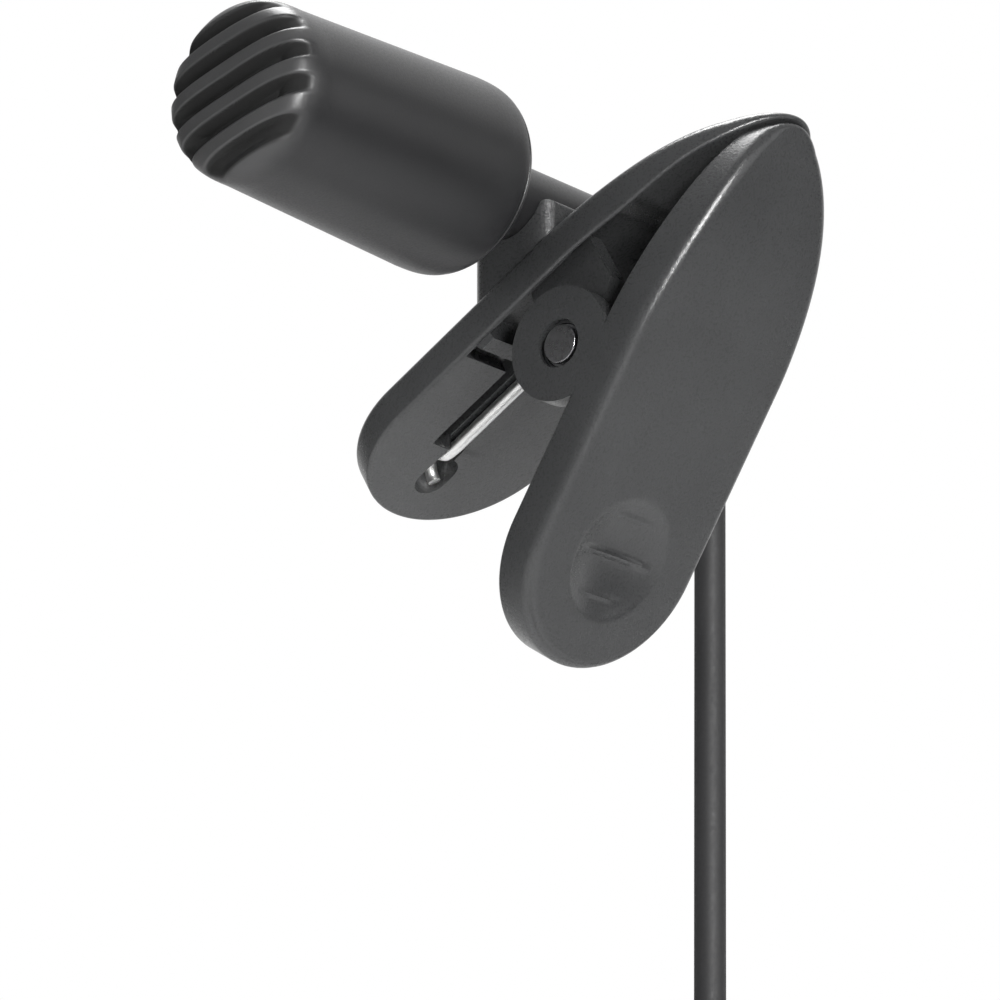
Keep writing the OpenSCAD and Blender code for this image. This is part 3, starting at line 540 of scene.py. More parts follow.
class MIC_OT_cord(bpy.types.Operator):
    """Lays the cord: it drops from the head, is folded into a hank and ends in the plug"""

    bl_idname = "mic.cord"
    bl_label = "Cord"

    def execute(self, context):
        cord = context.scene.mic_cord
        size = Sizes(cord)
        drop = np.column_stack([np.zeros(len(DROP_ROUTE)), DROP_ROUTE]) + CORD_EXIT
        drop = spline(drop, DROP_STEPS)
        cord_y = drop[-1][1]
        hank = hank_path(size, drop[-1][2] - size.diameter, cord_y)
        tail_low = box_mm("cord_tail")[0][2]
        tail_x = centre_mm("plug_sleeve")[0]
        tail = np.column_stack([np.full(TAIL_STEPS, tail_x), np.full(TAIL_STEPS, cord_y),
                                np.linspace(hank[-1][2] - size.diameter, tail_low, TAIL_STEPS)])
        path = np.vstack([drop, hank, tail])
        points, faces = tube_surface(path, size.diameter / 2, CORD_SIDES)
        piece = add_piece("cord", points, faces, "cord")
        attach(piece, "back_clip")
        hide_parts("cord_drop", "cord_hank", "cord_tail")
        return {"FINISHED"}


# ------------------------------------------------------------------- clip

# Places on a leaf are along it from the pin, minus towards the handle's end, and
# across it from its middle, in millimetres. These are where the jaw's plan begins to
# taper, where the back leaf's inner face rises, and where each leaf begins to thin.
TAPER_START = 3.0
RISE_START, RISE_END = 7.0, 14.0
BACK_THIN_START, FRONT_THIN_START = 8.0, 6.0
# Exponents of the plan taper and of each leaf's thinning.
TAPER_POWER = 1.65
BACK_THIN_POWER, FRONT_THIN_POWER = 3.0, 2.8
# Rounding of the inner edges, and the most of a leaf's thickness that the inner and
# the outer edges' roundings take.
INNER_EDGE, INNER_SHARE, OUTER_SHARE = 0.25, 0.3, 0.6
# Rows along the jaw, the straight part and the handle's end, and columns across.
JAW_ROWS, STRAIGHT_STEP, HANDLE_ROWS = 90, 0.16, 60
FACE_COLUMNS = 120
INNER_EDGE_STEPS, OUTER_EDGE_STEPS = 4, 8
# Distance between the two grid lines that draw an upright wall.
WALL = 0.05
# Largest angle between faces that are shaded as one on a finished leaf, in degrees.
LEAF_ANGLE = 35


def with_walls(values, walls):
    """Grid lines with a close pair at each wall, and none within the pair's reach."""
    values = np.asarray(values)
    for wall in walls:
        values = values[np.abs(values - wall) > 1.5 * WALL]
    return np.sort(np.concatenate([values, *([w - WALL / 2, w + WALL / 2] for w in walls)]))


def smooth_step(v):
    """0 below 0, 1 above 1, and 3v^2 - 2v^3 between."""
    c = np.clip(v, 0.0, 1.0)
    return c * c * (3 - 2 * c)


def up_to(v, high, soft=0.001):
    """1 up to high, falling to 0 over the soft width behind it."""
    return smooth_step((high - v) / soft + 1)


def plateau(v, low, high, soft_low=0.001, soft_high=0.001):
    """1 from low to high, falling to 0 over the soft widths outside them."""
    return up_to(-v, -low, soft_low) * up_to(v, high, soft_high)


def half_outline(handle, half, jaw, row_walls):
    """Half of a leaf's outline from the jaw tip to the handle's end: the jaw
    is y = w sqrt(1 - u^p) along u, the handle ends in a half circle."""
    u = 1 - np.linspace(0, 1, JAW_ROWS + 1) ** 2
    tip = np.stack([TAPER_START + (jaw - TAPER_START) * u,
                    half * np.sqrt(1 - u ** TAPER_POWER)], axis=1)
    rows = np.arange(half - handle + STRAIGHT_STEP, TAPER_START, STRAIGHT_STEP)
    rows = with_walls(rows, row_walls)[::-1]
    a = np.linspace(0, np.pi / 2, HANDLE_ROWS + 1)
    end = np.stack([half - handle - half * np.sin(a), half * np.cos(a)], axis=1)
    return np.vstack([tip, np.stack([rows, np.full(len(rows), half)], axis=1), end])


def outward(outline):
    """Normals of a half outline whose mirrored neighbours close it at both ends."""
    mirror = outline[[1, -2]] * [1, -1]
    closed = np.vstack([mirror[:1], outline, mirror[1:]])
    along = closed[2:] - closed[:-2]
    along /= np.linalg.norm(along, axis=1, keepdims=True)
    return np.stack([along[:, 1], -along[:, 0]], axis=1)


def leaf_surface(outline, inner, outer, edge, inner_form, outer_form, column_walls):
    """A closed leaf in (s, y, t): each row is a loop over the inner face, round
    the rim, over the outer face and back round the other rim. The faces are
    t = inner(s) and t = outer(s) with the forms added, and the rims are
    quarter circles drawn in along the outline's normals."""
    s, normal = outline[:, 0], outward(outline)
    low, high = inner(s), outer(s)
    low_r = np.minimum(INNER_EDGE, INNER_SHARE * (high - low))
    high_r = np.minimum(edge, OUTER_SHARE * (high - low))
    side = []
    for a in np.linspace(0, np.pi / 2, INNER_EDGE_STEPS + 1):
        inset = outline - ((1 - np.sin(a)) * low_r)[:, None] * normal
        side.append(np.column_stack([inset, low + (1 - np.cos(a)) * low_r]))
    for a in np.linspace(0, np.pi / 2, OUTER_EDGE_STEPS + 1):
        inset = outline - ((1 - np.cos(a)) * high_r)[:, None] * normal
        side.append(np.column_stack([inset, high - (1 - np.sin(a)) * high_r]))
    side = np.stack(side, axis=1)
    widest = outline[:, 1].max()
    columns = with_walls(np.linspace(-1, 1, FACE_COLUMNS + 1)[1:-1] * widest, column_walls) / widest

    def face(edge_points, form, level, direction):
        across = edge_points[:, None, 1] * columns[None, ::direction]
        along = np.repeat(edge_points[:, None, 0], len(columns), axis=1)
        return np.stack([along, across, level[:, None] + form(along, across)], axis=-1)

    inner_face = face(side[:, 0], inner_form, low, 1)
    outer_face = face(side[:, -1], outer_form, high, -1)
    return np.concatenate([inner_face, side, outer_face, side[:, ::-1] * [1, -1, 1]], axis=1)


def add_leaf(name, loop, to_place):
    """Makes a leaf from its grid of loops: the rows' ends fall together and are merged."""
    rows, cols = loop.shape[:2]
    points = to_place(*loop.reshape(-1, 3).T)
    piece = add_piece(name, points, grid_faces(rows, cols), "clip")
    mend(piece)
    return piece


def combine(piece, tools, operation):
    """Joins, cuts or crosses a piece with other closed pieces, which are used up."""
    for tool in tools:
        modifier = piece.modifiers.new(operation.lower(), "BOOLEAN")
        modifier.operation = operation
        modifier.solver = "EXACT"
        modifier.object = tool
        shaped = bpy.data.meshes.new_from_object(
            piece.evaluated_get(bpy.context.evaluated_depsgraph_get()))
        piece.modifiers.clear()
        piece.data = shaped
        bpy.data.objects.remove(tool)
    return piece


def prism(name, outline, low, high, to_place):
    """A straight prism over an outline, between two levels of its third coordinate."""
    n = len(outline)
    bottom = to_place(outline[:, 0], outline[:, 1], np.full(n, low))
    top = to_place(outline[:, 0], outline[:, 1], np.full(n, high))
    faces = grid_faces(2, n).tolist()
    faces += [list(range(n)), list(range(2 * n - 1, n - 1, -1))]
    piece = add_piece(name, np.vstack([bottom, top]), faces, "clip")
    mend(piece)
    return piece


def arc(centre, radius, start, end, steps):
    """Points on an arc, with angles in degrees."""
    a = np.radians(np.linspace(start, end, steps + 1))
    return np.stack([centre[0] + radius * np.cos(a), centre[1] + radius * np.sin(a)], axis=1)


def in_leaf(tilt, turned_over):
    """Carries (s, y, t) of a leaf at a tilt to the frame of the jaws. On the
    front leaf, t points the other way from the clip's middle."""
    cos, sin = np.cos(tilt), np.sin(tilt)
    up = -1.0 if turned_over else 1.0

    def to_place(s, y, t):
        return np.stack([s * cos - up * t * sin, y, s * sin + up * t * cos], axis=-1) + PIN

    return to_place


def along_y(x, z, y):
    """Carries an outline in X and Z about the pin to a level of Y."""
    return np.stack([x, y, z], axis=-1) + PIN


def thinned(base, tip, start, jaw, power):
    """base near the pin, falling to tip at the jaw's end as a power of the way there."""
    return lambda s: base - (base - tip) * np.maximum(0, (s - start) / (jaw - start)) ** power


class ClipShape(Sizes):
    """Sizes of both leaves in millimetres and radians, from the clip's settings."""

    def __init__(self, clip):
        super().__init__(clip)
        self.back_tilt, self.front_tilt = clip.back_tilt, clip.front_tilt
        self.mouth_from, self.mouth_to = clip.mouth_from, clip.mouth_to
        self.half = self.width / 2
        self.back_outer = self.back_inner + self.back_thick
        self.front_outer = self.front_inner + self.front_thick
        self.tip_inner = self.back_inner + self.jaw_rise
        self.closed = self.front_tilt - self.back_tilt
        self.leg_depth = self.channel - self.wire / 2 - LEG_GAP

    def back_face_in(self, s):
        """Level, then rising to the jaw."""
        rise = smooth_step((s - RISE_START) / (RISE_END - RISE_START))
        return self.back_inner + self.jaw_rise * rise

    def front_face_in(self, s):
        """Level, then along the back jaw's inner face with the closed gap between them."""
        meet = (s * np.sin(self.closed) - self.tip_inner + self.jaw_gap) / np.cos(self.closed)
        return np.maximum(self.front_inner, meet)


# The pads on the back leaf: their ends along it, and their distance from its sides.
PAD_FROM, PAD_TO, PAD_MARGIN = -5.4, 4.65, 0.4
# The hollow that gives the front leaf's ears room: its ends, its depth, and how far it
# fades out past each end. The pads leave out whatever is hollowed deeper than PAD_CLEAR.
HOLLOW_FROM, HOLLOW_TO, HOLLOW_DEPTH, HOLLOW_FADE = -3.9, 6.5, 1.3, (0.05, 3.0)
PAD_CLEAR = 0.02
# The notch behind the pads on the head's side: its length, its depth, its distance
# from the middle, and how far its ends fade.
NOTCH_LENGTH, NOTCH_DEPTH, NOTCH_FROM, NOTCH_FADE = 0.95, 1.0, 2.6, (0.001, 0.05)
# The channel for the spring's leg: its ends and how far they fade, its steep side
# towards the head and how softly that turns.
CHANNEL_END, CHANNEL_START, CHANNEL_FADE = -12.9, 2.0, (0.6, 0.01)
CHANNEL_SIDE, SIDE_SOFT = 2.95, 0.12
# From just before the leg, the floor rises by a share of the depth over a width, and
# the rest runs out over another, short of the same distance on the other side.
SHELF_RISE, SHELF_LEAD, SHELF_WIDTH = 0.84, 0.1, 0.5
RUN_OUT_SHORT, RUN_OUT_WIDTH = 0.4, 2.6
# The deeper groove between the leg and the steep side: where it starts across the
# leaf, its depth, and how softly it starts.
TRENCH_SIDE, TRENCH_DEPTH, TRENCH_SOFT = 1.85, 1.9, 0.3
# The slot for the leg from the channel to the hole: half its width, how softly its
# sides turn, and how far its ends fade.
SLOT_HALF, SLOT_SOFT, SLOT_FADE = 0.5, 0.1, (0.01, 0.5)
# The oval hole for the leg's hook: its place, length and width, its shift sideways
# from the leg, and how far its tool stands out of the leaf.
HOLE_PLACE, HOLE_LENGTH, HOLE_WIDTH, HOLE_SHIFT, HOLE_OVER = -15.85, 3.3, 2.4, 0.5, 2.0
# The inner ears: their radius below the pin, how far and from what height the web
# reaches to the jaw, where it ends towards the handle, how deep it is rooted, and the
# gap to the outer ears.
EAR_RADIUS, WEB_REACH, WEB_HEIGHT, WEB_BACK, WEB_ROOT, EAR_GAP = 2.4, 4.65, 2.2, -0.6, 0.3, 0.2
# How deep the cradle is rooted in the leaf.
CRADLE_ROOT = 1.1
# The spring: the back leg's distance from the middle, the coil's radius, pitch and
# whole turns, how far from the pin the legs bend into their channels, where they
# end, and their gap above the channels' floor.
LEG_SHIFT, COIL_RADIUS, COIL_PITCH, COIL_TURNS = 0.85, 2.0, 1.25, 2
LEG_BEND, BACK_LEG_END, FRONT_LEG_END, LEG_GAP = 6.5, -12.6, -12.8, 0.04


class MIC_OT_back_leaf(bpy.types.Operator):
    """Builds the leaf that carries the head: jaw, handle, pads, inner ears and cradle"""

    bl_idname = "mic.back_leaf"
    bl_label = "Back Leaf"

    def execute(self, context):
        shape = ClipShape(context.scene.mic_clip)
        pad_edge = shape.half - PAD_MARGIN

        def inner_form(s, y):
            """Depth of the notch, the spring's channel and the hollow, less the pads' height."""
            across = up_to(np.abs(y), pad_edge)
            pad = plateau(s, PAD_FROM, PAD_TO) * across
            notch = (plateau(s, PAD_FROM - NOTCH_LENGTH, PAD_FROM, *NOTCH_FADE)
                     * plateau(-y, NOTCH_FROM, pad_edge))
            along = plateau(s, CHANNEL_END, CHANNEL_START, *CHANNEL_FADE)
            slope = 1 - SHELF_RISE * smooth_step((y + LEG_SHIFT + SHELF_LEAD) / SHELF_WIDTH)
            run_out = smooth_step((CHANNEL_SIDE - RUN_OUT_SHORT - y) / RUN_OUT_WIDTH)
            seat = up_to(-y, CHANNEL_SIDE, SIDE_SOFT) * slope * run_out
            slot = (up_to(np.abs(y + LEG_SHIFT), SLOT_HALF, SLOT_SOFT)
                    * plateau(s, HOLE_PLACE, CHANNEL_END, *SLOT_FADE))
            trench = plateau(-y, TRENCH_SIDE, CHANNEL_SIDE, TRENCH_SOFT, SIDE_SOFT) * along
            groove = (shape.channel * np.maximum(along * seat, slot)
                      + (TRENCH_DEPTH - shape.channel) * trench)
            hollow = HOLLOW_DEPTH * plateau(s, HOLLOW_FROM, HOLLOW_TO, *HOLLOW_FADE) * across
            return (np.maximum(np.maximum(NOTCH_DEPTH * notch, groove), hollow)
                    - shape.pad * pad * (groove + hollow < PAD_CLEAR))

        outline = half_outline(shape.back_handle, shape.half, shape.jaw,
                               [PAD_FROM, PAD_FROM - NOTCH_LENGTH])
        outer = thinned(shape.back_outer, shape.tip_inner + shape.tip, BACK_THIN_START, shape.jaw,
                        BACK_THIN_POWER)
        loop = leaf_surface(outline, shape.back_face_in, outer, shape.edge, inner_form,
                            lambda s, y: np.zeros_like(s),
                            [-pad_edge, pad_edge, -CHANNEL_SIDE, -NOTCH_FROM])
        to_place = in_leaf(shape.back_tilt, False)
        leaf = add_leaf("leaf_back", loop, to_place)
        pin_bore = prism("bore", arc((0, 0), PIN_RADIUS, 0, 360, 64)[:-1],
                         -shape.half, shape.half, along_y)
        combine(leaf, [*self.ears(shape, to_place), self.cradle(shape)], "UNION")
        combine(leaf, [self.hole(shape, to_place), pin_bore], "DIFFERENCE")
        finish_leaf(leaf)
        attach(leaf, "back_clip")
        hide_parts("back_leaf")
        return {"FINISHED"}

    def ears(self, shape, to_place):
        """Two plates beside the spring: round below the pin and widening into the leaf."""
        web_top = shape.back_inner + HOLLOW_DEPTH + WEB_ROOT
        outline = np.vstack([arc((0, 0), EAR_RADIUS, -180, 0, 32),
                             [[WEB_REACH, WEB_HEIGHT], [WEB_REACH, web_top], [WEB_BACK, web_top]]])
        outside = shape.half - shape.ear_width - EAR_GAP
        return [prism("ear", outline, side * outside, side * (outside - shape.ear_width),
                      lambda s, t, y: to_place(s, y, t)) for side in (-1, 1)]

    def cradle(self, shape):
        """The neck's seat: an upright block with rounded corners, crossed with
        the outline of a snap ring whose mouth opens upwards."""
        bore, corner = shape.cradle_bore, shape.cradle_corner
        outer, lip = bore + shape.cradle_wall, shape.cradle_wall / 2
        near, far = shape.cradle_near, shape.cradle_far
        centre = NECK[[0, 2]] - PIN[[0, 2]]
        mouth_from, mouth_to = np.degrees(shape.mouth_from), np.degrees(shape.mouth_to)
        first, last = (np.array([np.cos(a), np.sin(a)])
                       for a in (shape.mouth_from, shape.mouth_to))
        root = shape.back_outer - CRADLE_ROOT
        slope = np.tan(shape.back_tilt)

        def on_leaf(x):
            return [x, (x + centre[0]) * slope + root / np.cos(shape.back_tilt) - centre[1]]

        outline = np.vstack([
            [on_leaf(outer), [outer, outer * np.tan(shape.mouth_from)]],
            arc((bore + lip) * first, lip, mouth_from, mouth_from + 180, 12),
            arc((0, 0), bore, mouth_from, mouth_to - 360, 96)[1:-1],
            arc((bore + lip) * last, lip, mouth_to - 180, mouth_to, 12),
            arc((0, 0), outer, mouth_to, 180, 16)[1:],
            [on_leaf(-outer)]])
        block = prism("cradle", outline + centre, -near, far, along_y)
        reach = (near + far) / 2
        plan = np.vstack([arc((i * (outer - corner), j * (reach - corner)), corner, a, a + 90, 12)
                          for i, j, a in ((1, 1, 0), (-1, 1, 90), (-1, -1, 180), (1, -1, 270))])
        plan += [centre[0], (far - near) / 2]
        upright = prism("cradle_plan", plan, 0.0, centre[1] + 2 * outer,
                        lambda x, y, z: np.stack([x, y, z], axis=-1) + PIN)
        return combine(block, [upright], "INTERSECT")

    def hole(self, shape, to_place):
        """An oval through the handle for the spring leg's end."""
        r = HOLE_WIDTH / 2
        reach = (HOLE_LENGTH - HOLE_WIDTH) / 2
        mid = HOLE_SHIFT - LEG_SHIFT
        outline = np.vstack([arc((HOLE_PLACE + reach, mid), r, -90, 90, 24),
                             arc((HOLE_PLACE - reach, mid), r, 90, 270, 24)])
        return prism("hole", outline, shape.back_inner - HOLE_OVER, shape.back_outer + HOLE_OVER,
                     to_place)


def finish_leaf(leaf):
    """Smooth shading with crisp corners on a joined leaf."""
    mend(leaf)
    shade(leaf, LEAF_ANGLE)


# The thumb scoop: how softly its rim turns, and how shallow it ends.
SCOOP_SOFT, SCOOP_LEAST = 0.06, 0.004
# Its ridges: their half width, how far from its middle they end, and how fast.
RIDGE_WIDTH, RIDGE_REACH, RIDGE_POWER = 0.17, 3.4, 0.7
# The pin's hole in the front leaf: its play, the width and depth of the ring that
# shows round each end of the pin, and how far its tool stands out of the leaf.
BORE_PLAY, RING_WIDTH, RING_DEPTH, BORE_OVER = 0.05, 0.2, 0.5, 1


class MIC_OT_front_leaf(bpy.types.Operator):
    """Builds the moving leaf: jaw, handle with its thumb rest, and round ears"""

    bl_idname = "mic.front_leaf"
    bl_label = "Front Leaf"

    def execute(self, context):
        shape = ClipShape(context.scene.mic_clip)
        ball = (shape.scoop ** 2 + shape.scoop_depth ** 2) / (2 * shape.scoop_depth)

        def outer_form(s, y):
            """A bowl with a softened rim, and thin ridges across it that fade out."""
            x = s + shape.scoop_place
            r = np.hypot(x, y)
            bowl = np.sqrt(np.maximum(ball ** 2 - r ** 2, 0)) - (ball - shape.scoop_depth)
            deep = (bowl + np.sqrt(bowl ** 2 + SCOOP_SOFT ** 2)) / 2 - SCOOP_SOFT ** 2 / 4
            ridge = sum(np.exp(-((x - k * shape.ridge_pitch) / RIDGE_WIDTH) ** 2) for k in (-1, 0, 1))
            fade = np.clip(1 - (r / RIDGE_REACH) ** 2, 0, 1) ** RIDGE_POWER
            return -np.maximum(deep - SCOOP_LEAST, 0) + shape.ridge * ridge * fade

        def inner_form(s, y):
            """Depth of the channel for the spring's other leg."""
            return (shape.channel * plateau(s, CHANNEL_END, CHANNEL_START)
                    * up_to(np.abs(y), CHANNEL_SIDE))

        outline = half_outline(shape.front_handle, shape.half, shape.jaw, [CHANNEL_START])
        tip_outer = float(shape.front_face_in(np.float64(shape.jaw))) + shape.tip
        outer = thinned(shape.front_outer, tip_outer, FRONT_THIN_START, shape.jaw, FRONT_THIN_POWER)
        loop = leaf_surface(outline, shape.front_face_in, outer, shape.edge, inner_form, outer_form,
                            [-CHANNEL_SIDE, CHANNEL_SIDE])
        leaf = add_leaf("leaf_front", loop, in_leaf(shape.front_tilt, True))
        ears = [prism("ear", arc((0, 0), shape.ear, 0, 360, 160)[:-1], side * shape.half,
                      side * (shape.half - shape.ear_width), along_y) for side in (-1, 1)]
        combine(leaf, ears, "UNION")
        combine(leaf, [self.pin_bore(shape)], "DIFFERENCE")
        finish_leaf(leaf)
        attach(leaf, "front_clip")
        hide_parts("front_leaf")
        return {"FINISHED"}

    def pin_bore(self, shape):
        """The pin's hole, opened into a ring at each end."""
        bore, ring = PIN_RADIUS + BORE_PLAY, PIN_RADIUS + RING_WIDTH
        step, past = shape.half - RING_DEPTH, shape.half + BORE_OVER
        profile = np.array([[0, -past], [ring, -past], [ring, -step], [bore, -step],
                            [bore, step], [ring, step], [ring, past], [0, past]])
        return turned("bore", profile, PIN, 64, "clip")


def turned(name, profile, centre, segments, slot, smooth_angle=40.0):
    """A surface of revolution about an axis along Y: each [radius, y] of the
    profile goes round the centre. Points on the axis are merged."""
    a = np.linspace(0, 2 * np.pi, segments, endpoint=False)
    r, y = profile[:, 0, None], profile[:, 1, None]
    points = np.stack([r * np.cos(a), np.repeat(y, segments, axis=1), r * np.sin(a)], axis=-1)
    points = points + [centre[0], 0, centre[2]]
    faces = grid_faces(len(profile), segments)
    piece = add_piece(name, points.reshape(-1, 3), faces, slot, smooth_angle)
    mend(piece)
    return piece


# ------------------------------------------------------------------- head

# Exponents of the dome's and the rear rounding's curves.
DOME_POWER, SHOULDER_POWER = 3.7, 4.4
# Rows on the dome, the tapered side, the rear rounding and the cap's part of it, and
# points round the head.
DOME_ROWS, SIDE_ROWS, SHOULDER_ROWS, CAP_ROWS, HEAD_SEGMENTS = 130, 24, 52, 40, 432
# Half a groove's width at half its depth, half the width over which its wall turns,
# and how far the middle groove lies from the head's axis.
GROOVE_HALF, GROOVE_SOFT, GROOVE_SHIFT = 0.49, 0.22, 0.25
# They fade towards GROOVE_REACH behind the dome's front and over GROOVE_FADE beside
# its side, and their depth is a power of that.
GROOVE_REACH, GROOVE_FADE, GROOVE_POWER = 2.3, 1.7, 1.4
# From what share of a groove the cloth's tone begins, and over what share it grows: the cloth seen at
# the groove's floor, and painted shade on its walls.
GROOVE_SHADE_FROM, GROOVE_SHADE_RISE = 0.02, 0.24
# The ribs' lighter tone is painted light: RIB_LIGHT_START less the way from the front over
# RIB_LIGHT_REACH.
RIB_LIGHT_START, RIB_LIGHT_REACH = 1.15, 2.6
# How far before the grooves' full depth the bore ends.
FLOOR_LEAD = 0.1
# The seam between the housing and the rear cap, and the rounding of its edges.
SEAM_GAP, SEAM_ROUND = 0.05, 0.1
# The neck: how much thicker it is at its root, and [thicker by, behind the cap] where
# that runs out; then the length, the step and the edge of its slimmer tip.
ROOT_SWELL, SWELL_END = 0.15, np.array([[0.05, 1.6], [0.0, 2.4]])
TIP_LENGTH, TIP_STEP, TIP_EDGE = 1.6, 0.75, 0.1
# The cord's bore through the cap, and the crimp's pocket: how much wider and how deep.
CORD_BORE, POCKET_WIDER, POCKET_DEPTH = 1.1, 0.85, 1.2


def evenly(curve, count):
    """A curve of points resampled to count points at equal steps along it."""
    walked = np.concatenate([[0], np.cumsum(np.linalg.norm(np.diff(curve, axis=0), axis=1))])
    steps = np.linspace(0, walked[-1], count)
    return np.stack([np.interp(steps, walked, curve[:, k]) for k in range(curve.shape[1])], axis=1)


def super_arc(radius, reach, power):
    """[radius, height] on a quarter of the curve (r/R)^p + (h/H)^p = 1."""
    a = np.radians(np.linspace(0, 90, 4000))
    return np.stack([radius * np.abs(np.cos(a)) ** (2 / power),
                     reach * np.abs(np.sin(a)) ** (2 / power)], axis=1)


class HeadShape(Sizes):
    """Sizes of the microphone head in millimetres, from its settings."""

    def __init__(self, head):
        super().__init__(head)
        self.groove_turn = head.groove_turn
        self.grooves = head.grooves
        self.front_y = box_mm("mic_housing")[0][1]
        self.seam_y = box_mm("mic_housing")[1][1] + SEAM_GAP
        self.rear_y = self.seam_y + self.cap_rim
        self.dome_y = self.front_y + self.dome
        self.shoulder_y = self.rear_y - self.shoulder

    def shoulder_arc(self, count, start_y=-np.inf, end_y=np.inf, end_r=0.0):
        """A part of the rear rounding, as [radius, y]."""
        curve = super_arc(self.rear / 2, self.shoulder, SHOULDER_POWER) + [0, self.shoulder_y]
        r, y = curve.T
        return evenly(curve[(y >= start_y) & (y <= end_y) & (r >= end_r)], count)


class MIC_OT_housing(bpy.types.Operator):
    """Builds the tapered housing with its domed front and sound grooves"""

    bl_idname = "mic.housing"
    bl_label = "Housing"

    def execute(self, context):
        shape = HeadShape(context.scene.mic_head)
        dome = super_arc(shape.front / 2, -shape.dome, DOME_POWER) + [0, shape.dome_y]
        dome = evenly(dome, DOME_ROWS)[::-1]
        end = shape.seam_y - SEAM_GAP
        rounding = shape.shoulder_arc(SHOULDER_ROWS, end_y=end - SEAM_ROUND)
        side = evenly(np.array([dome[-1], rounding[0]]), SIDE_ROWS)[1:-1]
        edge_r = rounding[-1][0] - SEAM_ROUND
        edge = arc((edge_r, end - SEAM_ROUND), SEAM_ROUND, 0, 90, 5)
        inner_front = shape.front_y + shape.groove_depth - FLOOR_LEAD
        inside = np.array([[shape.bore, end], [shape.bore, inner_front], [0, inner_front]])
        profile = np.vstack([dome, side, rounding, edge[1:], inside])
        a = np.linspace(0, 2 * np.pi, HEAD_SEGMENTS, endpoint=False)
        r = np.repeat(profile[:, :1], HEAD_SEGMENTS, axis=1)
        y = np.repeat(profile[:, 1:], HEAD_SEGMENTS, axis=1)
        share = np.zeros_like(r)
        rows = slice(0, DOME_ROWS)
        share[rows] = self.groove_share(shape, r[rows], y[rows], a)
        depth = shape.groove_seen * share[rows] ** GROOVE_POWER
        slope = np.gradient(profile[rows], axis=0)
        inward = np.stack([-slope[:, 1], slope[:, 0]], axis=1)
        inward /= np.linalg.norm(inward, axis=1, keepdims=True)
        r[rows] += depth * inward[:, :1]
        y[rows] += depth * inward[:, 1:]
        y[rows] = np.where(r[rows] < shape.bore + WALL,
                           np.minimum(y[rows], inner_front - WALL), y[rows])
        points = np.stack([r * np.cos(a), y, r * np.sin(a)], axis=-1) + [NECK[0], 0, NECK[2]]
        faces = grid_faces(len(profile), HEAD_SEGMENTS)
        piece = add_piece("housing", points.reshape(-1, 3), faces, "housing", smooth_angle=50.0)
        from_front = np.where(np.arange(len(r)) < DOME_ROWS, (y - shape.front_y).T, shape.dome).T
        # Painted shade in the grooves (cloth) and painted light on the ribs towards the front (ribs).
        for name, value in (("cloth", (share - GROOVE_SHADE_FROM) / GROOVE_SHADE_RISE),
                            ("ribs", RIB_LIGHT_START - from_front / RIB_LIGHT_REACH)):
            kept = piece.data.attributes.new(name, "FLOAT", "POINT")
            kept.data.foreach_set("value", smooth_step(value.ravel()))
        mend(piece)
        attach(piece, "mic_head")
        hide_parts("mic_housing")
        return {"FINISHED"}

    def groove_share(self, shape, r, y, a):
        """1 in the middle of a groove and 0 on the ribs between. The grooves are
        straight seen along the head's axis, and fade towards the dome's side."""
        across = r * np.sin(a - shape.groove_turn) + GROOVE_SHIFT
        most = shape.grooves // 2
        nearest = np.clip(np.round(across / shape.groove_pitch), -most, most)
        off = np.abs(across - nearest * shape.groove_pitch)
        width = smooth_step((GROOVE_HALF + GROOVE_SOFT - off) / (2 * GROOVE_SOFT))
        from_side = (shape.front / 2 - r) / GROOVE_FADE
        from_end = (shape.front_y + GROOVE_REACH - y) / GROOVE_REACH
        return width * np.clip((from_side + from_end) / 2, 0, 1)


class MIC_OT_rear_cap(bpy.types.Operator):
    """Builds the rear cap with its neck"""

    bl_idname = "mic.rear_cap"
    bl_label = "Rear Cap"

    def execute(self, context):
        shape = HeadShape(context.scene.mic_head)
        low, high = box_mm("rear_cap")
        neck = shape.neck / 2
        root = neck + ROOT_SWELL
        start = shape.seam_y + SEAM_GAP
        rim = shape.shoulder_arc(CAP_ROWS, start_y=start + SEAM_ROUND, end_r=root + shape.fillet)
        edge = arc((rim[0][0] - SEAM_ROUND, start + SEAM_ROUND), SEAM_ROUND, -90, 0, 5)
        corner = arc((root + shape.fillet, rim[-1][1] + shape.fillet), shape.fillet, -90, -180, 10)
        neck_end = high[1] - TIP_LENGTH
        slim = neck - TIP_STEP
        pocket, pocket_y = CORD_BORE + POCKET_WIDER, low[1] + POCKET_DEPTH
        profile = np.vstack([
            [[shape.spigot, low[1]], [shape.spigot, start]], edge, rim[1:], corner[1:],
            SWELL_END + [neck, shape.rear_y],
            [[neck, neck_end - TIP_EDGE], [neck - TIP_EDGE, neck_end], [slim, neck_end],
             [slim, high[1]], [CORD_BORE, high[1]], [CORD_BORE, pocket_y], [pocket, pocket_y],
             [pocket, low[1]], [shape.spigot, low[1]]]])
        piece = turned("cap", profile, NECK, 192, "housing", smooth_angle=35.0)
        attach(piece, "mic_head")
        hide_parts("rear_cap")
        return {"FINISHED"}


# ----------------------------------------------------------- pin and spring

# How much slimmer each end of the pin is, over what length, and its rounding.
PIN_STEP, PIN_NOSE, PIN_ROUND = 0.16, 0.5, 0.06


